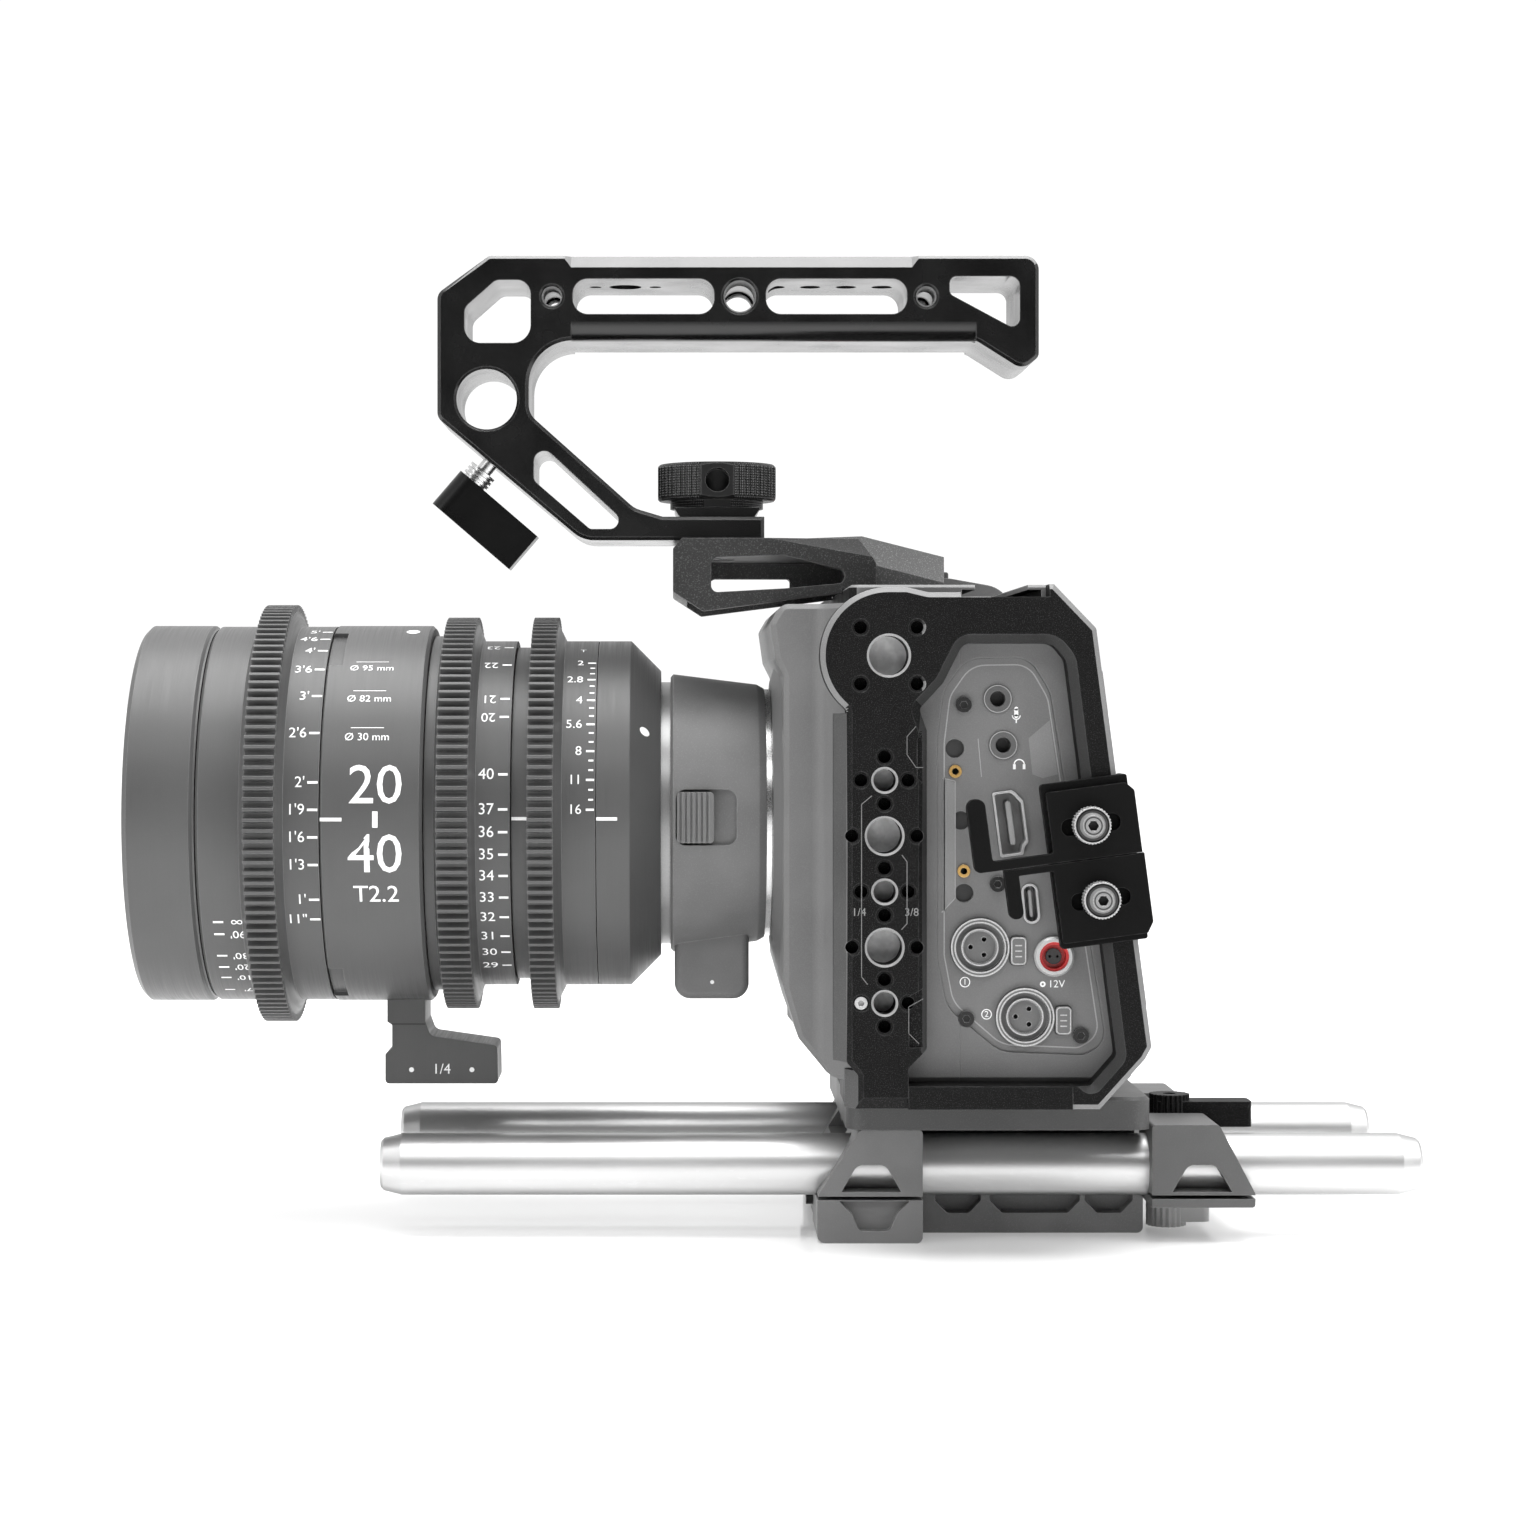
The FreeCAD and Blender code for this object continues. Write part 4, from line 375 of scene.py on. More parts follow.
def display_glass():
    """Cover glass over a dark display, with a little haze left by fingers."""
    look = Look("display_glass")
    haze = look.noise(22, 4)
    look.set(Base_Color=look.blend(look.span(haze, 0.4, 0.7, 0, 1), grey(0.006), grey(0.014)))
    look.set(Roughness=look.span(haze, 0.4, 0.8, 0.04, 0.16), Specular_IOR_Level=0.4)
    return look.done()


def circuit_board():
    """Green board with square black chips."""
    look = Look("circuit_board")
    blocks = look.add("ShaderNodeTexVoronoi", {"Vector": look.place, "Scale": 160}, distance="CHEBYCHEV")
    between = look.span(blocks.outputs["Distance"], 0.25, 0.35, 0, 1)
    look.set(Base_Color=look.blend(between, grey(0.03), (0.01, 0.11, 0.05, 1)), Roughness=0.4)
    look.bump(blocks.outputs["Distance"], 0.2)
    return look.done()


def knurled_alloy():
    """Black alloy with a diamond knurl round the handle knob's axis, smooth on its four flats, with painted
    highlights.
    """
    look = Look("knurled_alloy")
    edge = look.round_edges(0.25)
    parts = look.add("ShaderNodeSeparateXYZ", {0: look.place}).outputs
    across = look.math("SUBTRACT", parts["X"], KNOB_X * MM)
    angle = look.math("ARCTAN2", parts["Y"], across)
    around = look.math("MULTIPLY", angle, KNOB_RADIUS * 2 * math.pi / KNURL_PITCH)
    up = look.math("MULTIPLY", parts["Z"], 2 * math.pi / (KNURL_PITCH * MM))
    left_hand = look.math("SINE", look.math("ADD", around, up))
    right_hand = look.math("SINE", look.math("SUBTRACT", around, up))
    flats = look.math("ABSOLUTE", look.math("COSINE", look.math("MULTIPLY", angle, 2.0)))
    knurled = look.span(flats, 0.86, 0.82, 0, 1)
    diamond = look.math("MULTIPLY", look.math("MULTIPLY", left_hand, right_hand), knurled)
    fine = look.noise(0.2, 2)
    # painted highlight on the knurl's crests, painted shade in its valleys
    lit_crests = look.span(diamond, 0.45, 0.95, 0.0, 1.0)
    tone = look.blend(lit_crests, grey(0.005), grey(0.22))
    look.set(Base_Color=look.blend(edge, tone, grey(0.12)), Specular_IOR_Level=0.35)
    look.set(Roughness=look.span(fine, 0.3, 0.7, 0.34, 0.48))
    look.bump(diamond, 0.2)
    look.bump(fine, 0.008)
    return look.done()


# the cage's tapped holes, through which the camera's side shows, as x, z and radius
SMALL_THREAD, LARGE_THREAD = 2.6, 4.1       # radii of the bores for 1/4 and 3/8 inch screws
HOLE_X, HOLE_Z, HOLE_PITCH = -38.2, 60.4, 13.0
COLUMN = [(HOLE_X, HOLE_Z + HOLE_PITCH * i, (SMALL_THREAD, LARGE_THREAD)[i % 2]) for i in range(5)]
COLUMN.append((-37.2, 141.5, 4.6))

LOOKS = {
    "grey_alloy": anodised("grey_alloy", 0.16, 0.38, rough=0.45, grain_mm=0.2),
    "rear_alloy": anodised("rear_alloy", 0.095, 0.26, rough=0.45, grain_mm=0.2),
    "bridge_alloy": anodised("bridge_alloy", 0.075, 0.22, rough=0.55, grain_mm=0.3, speckle=0.6),
    "bridge_painted_shade": anodised("bridge_painted_shade", 0.018, 0.16, rough=0.55, grain_mm=0.3, speckle=0.3),
    "pale_alloy": anodised("pale_alloy", 0.5, 0.7, rough=0.4),
    "black_alloy": anodised("black_alloy", 0.003, 0.085, rough=0.5, grain_mm=0.22, gloss=0.12,
                            speckle=0.2),
    "deep_black": anodised("deep_black", 0.0025, 0.05, rough=0.55, grain_mm=0.2, gloss=0.1, speckle=0.03),
    "dim_lit_window_alloy": anodised("dim_lit_window_alloy", 0.014, 0.13, rough=0.45, grain_mm=0.2, speckle=0.1),
    "lit_rim_alloy": anodised("lit_rim_alloy", 0.26, 0.5, rough=0.35, grain_mm=0.2),
    "sheen_alloy": anodised("sheen_alloy", 0.2, 0.45, rough=0.4, grain_mm=0.2),
    "sled_alloy": anodised("sled_alloy", 0.06, 0.2, rough=0.45, grain_mm=0.2),
    "lit_bevel_alloy": anodised("lit_bevel_alloy", 0.16, 0.5, rough=0.4, grain_mm=0.24, speckle=0.3),
    "handle_alloy": anodised("handle_alloy", 0.0022, 0.07, rough=0.24, grain_mm=0.2, grain_depth=0.001,
                             gloss=0.5, speckle=0.02),
    "lever_alloy": anodised("lever_alloy", 0.003, 0.09, rough=0.3, grain_mm=0.2, grain_depth=0.001,
                            gloss=0.2, speckle=0.02),
    "lens_alloy": turned_alloy("lens_alloy", 0.069, 0.20),
    "adapter_alloy": anodised("adapter_alloy", 0.15, 0.32, rough=0.5, grain_mm=0.25),
    "slider_plastic": moulded("slider_plastic", 0.13, rough=0.5, texture_mm=0.2, depth=0.01, edge=0.3),
    # painted light on the camera's side where it shows through the cage's holes
    "camera_shell": moulded("camera_shell", 0.132, rough=0.5, holes=COLUMN),
    "panel_shell": moulded("panel_shell", 0.148, rough=0.55, texture_mm=0.22),
    "panel_facet_light": moulded("panel_facet_light", 0.21, rough=0.5, texture_mm=0.22, edge=0.21),
    "panel_painted_light": moulded("panel_painted_light", 0.3, rough=0.5, texture_mm=0.22, edge=0.3),
    "recess_shade_and_seam": moulded("recess_shade_and_seam", 0.035, rough=0.5, texture_mm=0.22, edge=0.05),
    "jack_plastic": moulded("jack_plastic", 0.09, rough=0.5, texture_mm=0.22, edge=0.12),
    "black_plastic": moulded("black_plastic", 0.02, rough=0.4, texture_mm=0.2, depth=0.01),
    "socket_plastic": moulded("socket_plastic", 0.13, rough=0.45, texture_mm=0.2, depth=0.006, edge=0.5),
    "grip_rubber": pebbled_rubber(),
    "knurled_alloy": knurled_alloy(),
    "ground_steel": ground_steel(),
    "bright_steel": machined_steel("bright_steel"),
    "satin_nickel": satin_nickel(),
    "thread_metal": satin_nickel("thread_metal", 0.30),
    "dark_steel": blackened_steel(),
    "brass": brass(),
    "red": coloured_plastic("red_plastic", (0.55, 0.02, 0.02, 1)),
    "ink": paint(),
    "faint_ink": faint_ink(),
    "faint_text": faint_ink("faint_text", 0.2),
    # painted highlight for edges, rims and ribs
    "painted_edge_highlight": faint_ink("painted_edge_highlight", 0.5),
    "lens_glass": coated_glass(),
    "display_glass": display_glass(),
    "board": circuit_board(),
}

FINISH = {
    "grey_alloy": ["base_plate", "slide_rail", "front_rod_clamp"],
    "sled_alloy": ["sled"],
    "rear_alloy": ["rear_rod_clamp"],
    "pale_alloy": ["rod_clamp_lever"],
    "black_alloy": ["cage_side_plate", "cage_bottom_plate", "cage_top_plate", "sled_lock_lever"],
    "deep_black": ["clamp_base", "hdmi_clamp", "usb_clamp"],
    "bridge_alloy": ["top_bridge"],
    "handle_alloy": ["top_handle", "handle_wedge"],
    "lever_alloy": ["handle_clamp_lever"],
    "knurled_alloy": ["handle_knob"],
    "lens_alloy": ["lens_front_barrel", "lens_rear_barrel", "lens_centre_barrel", "focus_ring",
                   "zoom_ring", "iris_ring", "lens_foot"],
    "adapter_alloy": ["adapter_body"],
    "camera_shell": ["camera_front_shell", "camera_rear_shell", "battery_door"],
    "panel_shell": ["port_panel"],
    "socket_plastic": ["audio_sockets", "port_sockets", "audio_tab_upper", "audio_tab_lower"],
    "black_plastic": ["screen_frame", "iso_button", "shutter_button", "control_wheel", "battery", "fan_rotor",
                      "focus_group", "zoom_group"],
    "grip_rubber": ["grip_cover"],
    "ground_steel": ["rod_left", "rod_right"],
    "bright_steel": ["lens_mount_ring", "adapter_flanges"],
    "thread_metal": ["lens_bayonet"],
    "slider_plastic": ["adapter_slider"],
    "satin_nickel": ["hdmi_clamp_screw", "usb_clamp_screw", "dc_socket"],
    "dark_steel": ["base_screws", "cage_screws", "panel_fasteners", "iris_diaphragm"],
    "lens_glass": ["fixed_elements"],
    "display_glass": ["screen_glass"],
    "red": ["record_button"],
    "board": ["circuit_boards"],
}


def finish_nodes():
    """Gives every CAD node its material and crisp, smooth shading."""
    for look, members in FINISH.items():
        for name in members:
            mesh = nodes[name].data
            mesh.materials.clear()
            mesh.materials.append(LOOKS[look])
            mesh.shade_smooth()
            mesh.set_sharp_from_angle(angle=CREASE)


def refinish(node, look, wanted):
    """Gives the faces of a node that wanted(centre, normal) picks, in millimetres, a second material."""
    mesh = nodes[node].data
    mesh.materials.append(LOOKS[look])
    index = len(mesh.materials) - 1
    world = nodes[node].matrix_world
    for face in mesh.polygons:
        if wanted(world @ face.center / MM, (world.to_3x3() @ face.normal).normalized()):
            face.material_index = index


def beside(centre, spots, outer, inner=-1.0):
    """Whether a point's distance from any of the spots, seen from the side, lies between two radii."""
    return any(inner < math.hypot(centre.x - x, centre.z - z) < outer for x, z in spots)


# the sockets and fasteners on the camera's side, as x and z
AUDIO = [(-15.2, 72.8), (-4.6, 56.4)]
POWER = [(2.2, 70.7)]
INSERTS = [(-21.0, 114.3), (-19.0, 90.8)]
PEGS = [(-21.1, 119.7), (-19.6, 102.7), (-18.9, 85.6)]
JACKS = [(-11.0, 131.4), (-9.7, 120.5)]


def finish_cage():
    """Painted highlight on the cage's outer bevels, fainter painted light round its window, painted highlight
    in hole mouths.
    """
    def outward(c, n):
        return (c.x + 10) * n.x + (c.z - 95) * n.z > 0

    def sloping(c, n):
        return c.y < -65.7 and -0.97 < n.y < -0.2

    # painted highlight: outward bevels of the black cage get a paler copy of its finish
    refinish("cage_side_plate", "lit_bevel_alloy", lambda c, n: sloping(c, n) and outward(c, n))
    # fainter painted light on the bevels round the window
    refinish("cage_side_plate", "dim_lit_window_alloy", lambda c, n: sloping(c, n) and not outward(c, n))
    refinish("cage_side_plate", "black_alloy", lambda c, n: sloping(c, n) and -46.9 < c.x < -29.5
             and c.z < 150)
    # painted light: the sled's dimmer tone on the sloping strip along the cage's front edge
    refinish("cage_side_plate", "sled_alloy", lambda c, n: c.x < -44.2 and c.y < -60.5
             and -0.6 < n.y < -0.2 and c.z < 130)
    # painted highlight in the chamfered mouth of each tapped hole
    for x, z, radius in COLUMN:
        refinish("cage_side_plate", "lit_rim_alloy", lambda c, n: c.y < -67.4 and n.y > -0.95
                 and beside(c, [(x, z)], radius + 0.5, inner=radius - 0.1))
    # painted highlight on the top plate's faces toward the eye and its upper edges
    refinish("cage_top_plate", "lit_bevel_alloy", lambda c, n: n.y < -0.9 or (c.z > 157.2 and n.z < 0.9))
    refinish("cage_screws", "satin_nickel", lambda c, n: c.y < -60)


def finish_sockets():
    """Contacts, bands and rims of the sockets on the camera's side, painted shade in holes, painted light in
    ports.
    """
    # painted shade in the panel's peg holes
    refinish("port_panel", "recess_shade_and_seam", lambda c, n: beside(c, PEGS, 2.15) and c.y > -58.4 and n.y < -0.9)
    refinish("port_sockets", "panel_shell", lambda c, n: not beside(c, JACKS, 3.5))
    refinish("port_sockets", "satin_nickel", lambda c, n: c.y < -59.55 and not beside(c, JACKS, 3.5))
    # painted light on the port sockets' inner step and deep cavity walls
    refinish("port_sockets", "panel_painted_light", lambda c, n: -58.9 < c.y < -58.5 and n.y < -0.9)
    refinish("port_sockets", "panel_painted_light", lambda c, n: c.y > -58.4 and not beside(c, JACKS, 3.5))
    refinish("port_sockets", "jack_plastic", lambda c, n: beside(c, JACKS, 3.5))
    # painted shade on the walls inside the audio sockets
    refinish("audio_sockets", "recess_shade_and_seam", lambda c, n: c.y > -58.4 and n.y > -0.9)
    refinish("dc_socket", "red", lambda c, n: beside(c, POWER, 3.48, inner=2.0) and c.y > -60.45)
    # painted shade in the power socket's centre
    refinish("dc_socket", "recess_shade_and_seam", lambda c, n: beside(c, POWER, 1.95) and c.y > -59.45)
    refinish("panel_fasteners", "brass", lambda c, n: beside(c, INSERTS, 1.6))


def finish_fittings():
    """Painted shade on the bridge's front, a painted sheen on the handle's top bevel, painted shade in the
    clamp screws' grooves and sockets, the lever's bare stem and the glass of the moving lens cells."""
    # painted shade on the bridge's faces toward the eye
    refinish("top_bridge", "bridge_painted_shade", lambda c, n: c.y < -22.5 and n.y < -0.5 and c.x < -37)
    # painted sheen: a pale anodised copy on the handle's top bevel
    refinish("top_handle", "sheen_alloy", lambda c, n: c.z > 236 and n.z > 0.3 and -0.97 < n.y < -0.2)
    for name in ("hdmi_clamp_screw", "usb_clamp_screw"):
        spot, front = [(middle(name).x / MM, middle(name).z / MM)], low(name).y / MM
        refinish(name, "thread_metal", lambda c, n: beside(c, spot, 3.0))
        # painted shade in the screw face's groove and its central socket
        refinish(name, "recess_shade_and_seam", lambda c, n: c.y > front + 2.0 and beside(c, spot, 4.0, inner=2.7))
        refinish(name, "recess_shade_and_seam", lambda c, n: beside(c, spot, 1.35))
    stem = Vector((-135.4, 0.0, 189.7))         # a point on the lever's stem, and its direction
    along = Vector((-0.652, 0.0, -0.758))
    refinish("handle_clamp_lever", "bright_steel", lambda c, n: (c - stem).dot(along) < 4.15)
    for name, radius in (("focus_group", 32.8), ("zoom_group", 27.8)):
        refinish(name, "lens_glass", lambda c, n: math.hypot(c.y, c.z - AXIS_Z / MM) < radius)


# ---- painted marks ------------------------------------------------------------------------------
class Marks:
    """Gathers flat shapes, drawn in millimetres, into one painted object."""

    def __init__(self):
        self.points, self.faces = [], []

    def shape(self, points, faces, place):
        start = len(self.points)
        self.points += [place(x * MM, y * MM) for x, y in points]
        self.faces += [[start + i for i in face] for face in faces]

    def bar(self, width, height, place, at=(0, 0), steps=4):
        """A rectangle, cut across so that it can follow a curve."""
        xs = (at[0] - width / 2, at[0] + width / 2)
        ys = [at[1] - height / 2 + height * i / steps for i in range(steps + 1)]
        points = [(x, y) for y in ys for x in xs]
        faces = [(2 * i, 2 * i + 1, 2 * i + 3, 2 * i + 2) for i in range(steps)]
        self.shape(points, faces, place)

    def disc(self, radius, place, at=(0, 0), inner=0.0, start=0.0, turn=360.0, steps=32):
        """A dot, or a ring or an arc when inner is given."""
        points, faces = [], []
        for i in range(steps + 1):
            angle = math.radians(start + turn * i / steps)
            for r in (inner, radius):
                points.append((at[0] + r * math.cos(angle), at[1] + r * math.sin(angle)))
        faces = [(2 * i, 2 * i + 1, 2 * i + 3, 2 * i + 2) for i in range(steps)]
        self.shape(points, faces, place)

    def line(self, points, width, place):
        """A ribbon of even width through the points."""
        for (xa, ya), (xb, yb) in zip(points, points[1:]):
            length = math.hypot(xb - xa, yb - ya)
            nx, ny = -(yb - ya) / length * width / 2, (xb - xa) / length * width / 2
            ribbon = [(xa + nx, ya + ny), (xa - nx, ya - ny), (xb - nx, yb - ny), (xb + nx, yb + ny)]
            self.shape(ribbon, [(0, 1, 2, 3)], place)

    def text(self, words, size, place, at=(0, 0), turn=0.0, align="CENTER", bold=0.0, wide=1.0):
        """Lettering in Blender's own plain font, size millimetres high."""
        curve = bpy.data.curves.new("lettering", "FONT")
        curve.body = words
        curve.size = size / 0.72
        curve.align_x = align
        curve.align_y = "CENTER"
        curve.offset = bold
        curve.resolution_u = 3
        holder = bpy.data.objects.new("lettering", curve)
        bpy.context.scene.collection.objects.link(holder)
        bpy.context.view_layer.update()
        flat = holder.to_mesh()
        c, s = math.cos(math.radians(turn)), math.sin(math.radians(turn))
        points = []
        for vertex in flat.vertices:
            x, y = vertex.co.x * wide, vertex.co.y
            points.append((at[0] + x * c - y * s, at[1] + x * s + y * c))
        faces = [tuple(face.vertices) for face in flat.polygons]
        self.shape(points, faces, place)
        holder.to_mesh_clear()
        bpy.data.objects.remove(holder)

    def paint(self, name, look, body, slot=None):
        """Turns the gathered shapes into one piece that rides on a body."""
        mesh = bpy.data.meshes.new(name)
        mesh.from_pydata(self.points, [], self.faces)
        mesh.materials.append(LOOKS[look])
        piece = bpy.data.objects.new(name, mesh)
        bpy.context.scene.collection.objects.link(piece)
        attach(piece, body)
        return piece


def round_lens(radius, x, angle=0.0, flip=False):
    """Places a flat mark round the lens: x along the axis, angle up from the camera's left side."""
    def place(a, b):
        if flip:
            a, b = -a, -b
        theta = math.radians(angle) + b / radius
        reach = radius + LIFT
        return (x + a, -reach * math.cos(theta), AXIS_Z + reach * math.sin(theta))
    return place


def on_side(y, x=0.0, z=0.0, lean=0.0):
    """Places a flat mark on a face that looks to the camera's left."""
    c, s = math.cos(lean), math.sin(lean)

    def place(a, b):
        return (x + a * c - b * s, y - LIFT, z + a * s + b * c)
    return place


# distances and focal lengths, each with the angle it stands at, then the stops
FOCUS_MARKS = [("11\"", -31.0), ("1'", -24.3), ("1'3", -13.4), ("1'6", -5.2), ("1'9", 2.8), ("2'", 10.8),
               ("2'6", 25.9), ("3'", 38.7), ("3'6", 49.7), ("4'", 59.5), ("4'6", 67.5), ("5'", 74.5)]
FAR_MARKS = [("∞", -32.0), ("90'", -36.5), ("30'", -45.5), ("20'", -51.0), ("10'", -57.0), ("7'", -66.0)]
ZOOM_MARKS = [("40", 14.2), ("37", 3.0), ("36", -4.2), ("35", -11.4), ("34", -18.5), ("33", -26.1),
              ("32", -33.6), ("31", -41.7), ("30", -49.7), ("29", -57.7)]
WIDE_MARKS = [("20", 34.2), ("21", 41.5), ("22", 58.7), ("23", 73.0)]
STOPS = ["16", "11", "8", "5.6", "4", "2.8", "2"]
STOP_FIRST, STOP_STEP = 2.9, 9.5


def mark_focus_ring():
    marks = Marks()
    radius = 47.3 * MM
    right = high("focus_ring").x
    for words, angle in FOCUS_MARKS:
        marks.bar(2.5, 0.6, round_lens(radius, right - 1.5 * MM, angle))
        marks.text(words, 2.7, round_lens(radius, right - 3.3 * MM, angle), align="RIGHT", bold=0.004)
    gear = low("focus_ring").x + 12.1 * MM
    for words, angle in FAR_MARKS:
        marks.bar(2.5, 0.6, round_lens(radius, gear - 7.4 * MM, angle))
        marks.text(words, 2.4, round_lens(radius, gear - 2.9 * MM, angle, flip=True), bold=0.004)
    marks.paint("focus_marks", "ink", "focus_ring", "lens_alloy")


def mark_zoom_ring():
    marks = Marks()
    radius = 43.6 * MM
    right = high("zoom_ring").x
    for words, angle in ZOOM_MARKS:
        marks.bar(2.3, 0.6, round_lens(radius, right - 1.7 * MM, angle))
        marks.text(words, 2.8, round_lens(radius, right - 3.8 * MM, angle), align="RIGHT", bold=0.004)
    for words, angle in WIDE_MARKS:
        marks.bar(2.3, 0.6, round_lens(radius, right - 1.7 * MM, angle))
        marks.text(words, 2.6, round_lens(radius, right - 5.6 * MM, angle, flip=True), bold=0.004)
    marks.paint("zoom_marks", "ink", "zoom_ring", "lens_alloy")


def mark_iris_ring():
    marks = Marks()
    radius = 43.6 * MM
    right = high("iris_ring").x
    for i, words in enumerate(STOPS):
        angle = STOP_FIRST + STOP_STEP * i
        marks.bar(2.0, 0.55, round_lens(radius, right - 1.3 * MM, angle))
        marks.text(words, 2.4, round_lens(radius, right - 3.3 * MM, angle), align="RIGHT", bold=0.004)
        if i + 1 < len(STOPS):
            for third in (1, 2):
                marks.bar(1.2, 0.45, round_lens(radius, right - 1.1 * MM, angle + STOP_STEP * third / 3))
    marks.text("T", 1.8, round_lens(radius, right - 3.6 * MM, STOP_FIRST + STOP_STEP * len(STOPS)))
    marks.paint("iris_marks", "ink", "iris_ring", "lens_alloy")


def mark_barrels():
    """The still parts of the lens: index lines, the range, the size marks and the alignment dots."""
    marks = Marks()
    front, back = low("lens_centre_barrel").x, high("lens_centre_barrel").x
    radius = 47.5 * MM
    centre = front + 11.4 * MM
    marks.bar(5.2, 0.85, round_lens(radius, front + 2.7 * MM))
    marks.text("20", 9.7, round_lens(radius, centre + 1.9 * MM), at=(0, 7.95), bold=0.008)
    marks.bar(1.3, 3.9, round_lens(radius, centre + 1.9 * MM))
    marks.text("40", 9.7, round_lens(radius, centre + 1.9 * MM), at=(0, -8.8), bold=0.008)
    marks.text("T2.2", 4.4, round_lens(radius, centre + 1.9 * MM), at=(0, -18.7), bold=0.008)
    for words, angle in (("Ø 95 mm", 50.0), ("Ø 82 mm", 37.5), ("Ø 30 mm", 24.5)):
        marks.text(words, 2.0, round_lens(radius, centre - 0.4 * MM, angle))
        marks.bar(8.0, 0.18, round_lens(radius, centre - 0.4 * MM, angle + 3.0))
    marks.disc(1.7, round_lens(radius, back - 4.8 * MM, 74.0))
    marks.bar(3.8, 0.8, round_lens(42.0 * MM, low("iris_ring").x - 2.05 * MM))
    marks.bar(5.0, 0.8, round_lens(43.6 * MM, high("iris_ring").x + 2.75 * MM))
    marks.paint("barrel_marks", "ink", "camera_sled", "lens_alloy")

    dot = Marks()
    x, radius = low("lens_bayonet").x - 3.9 * MM, 39.9 * MM     # a circle halfway down the rear cone
    slope = 7.6 / 7.5
    angle = math.radians(31.5)

    def on_cone(a, b):
        reach = radius - a * slope + 0.12 * MM
        theta = angle + b / radius
        return (x + a, -reach * math.cos(theta), AXIS_Z + reach * math.sin(theta))
    dot.disc(1.15, on_cone)
    dot.paint("mount_dot", "ink", "camera_sled", "lens_alloy")


def mark_foot():
    """The thread size and the seam on the lens foot, and the dot on the adapter's foot."""
    marks = Marks()
    y = low("lens_foot").y
    x, z = middle("lens_foot").x, low("lens_foot").z + 3.6 * MM
    marks.text("1/4", 2.6, on_side(y, x, z), bold=0.003)
    for side in (-1, 1):
        marks.disc(0.62, on_side(y, x, z), at=(side * 7.6, -0.1))
    marks.paint("foot_marks", "ink", "camera_sled", "lens_alloy")
    seam = Marks()
    seam.line([(-158.5, 49.6), (-149.9, 49.6)], 0.35, on_side(y))
    seam.paint("foot_seam", "recess_shade_and_seam", "camera_sled", "lens_alloy")
    marks = Marks()
    foot = low("adapter_body")
    marks.disc(0.5, on_side(-14.0 * MM, foot.x + 10.4 * MM, foot.z + 4.3 * MM))
    marks.paint("adapter_dot", "ink", "camera_sled", "grey_alloy")


def mark_cage():
    """The thin engraved lines and thread sizes down the side of the cage."""
    marks = Marks()
    face = low("cage_side_plate")
    place = on_side(face.y)
    left, right = HOLE_X - 5.4, HOLE_X + 5.2
    second, third, fifth = (HOLE_Z + HOLE_PITCH * step for step in (1, 2, 4))
    marks.line([(left + 2.4, fifth - 3.6), (left, fifth - 5.6), (left, HOLE_Z + 6.2),
                (left + 1.4, HOLE_Z + 4.4)], 0.2, place)
    marks.line([(right - 1.2, third + 8.6), (right, third + 7), (right, second + 5.6),
                (right - 1.3, second + 4.2)], 0.2, place)
    marks.line([(-30.9, 125), (-33.0, 122.6), (-33.0, 118.4), (-30.9, 115.4), (-29.2, 115.4)], 0.16, place)
    marks.line([(-29.2, 61.5), (-32.6, 59.6), (-32.6, 53.4), (-30.2, 51)], 0.16, place)
    marks.paint("cage_marks", "faint_ink", "camera_sled", "black_alloy")
    marks = Marks()
    sizes_z = HOLE_Z + HOLE_PITCH * 1.63
    marks.text("1/4", 1.9, place, at=(HOLE_X - 6.0, sizes_z))
    marks.text("3/8", 1.9, place, at=(HOLE_X + 6.3, sizes_z))
    marks.paint("cage_thread_sizes", "faint_text", "camera_sled", "black_alloy")


# the corners of the panel's raised border, as x, z and radius
PANEL_LINE = [(-23.8, 133.5, 7), (-18.3, 141.0, 7), (-3.6, 141.2, 6), (1.4, 133.0, 9), (14.6, 50.4, 5),
              (9.4, 47.4, 4), (-10.5, 48.2, 8), (-23.0, 58.5, 8), (-25.3, 70.0, 8), (-25.3, 122.0, 8)]


def rounded_path(points, steps=6):
    """A closed path through (x, z, radius) corners, each drawn as a short arc."""
    path = []
    for i, (x, z, radius) in enumerate(points):
        here = Vector((x, z))
        before, after = Vector(points[i - 1][:2]), Vector(points[(i + 1) % len(points)][:2])
        to_a, to_b = (before - here).normalized(), (after - here).normalized()
        half = to_a.angle(to_b) / 2
        centre = here + (to_a + to_b).normalized() * (radius / math.sin(half))
        start = here + to_a * (radius / math.tan(half)) - centre
        stop = here + to_b * (radius / math.tan(half)) - centre
        for step in range(steps + 1):
            spoke = start.lerp(stop, step / steps).normalized() * radius
            path.append((centre.x + spoke.x, centre.y + spoke.y))
    return path + path[:1]


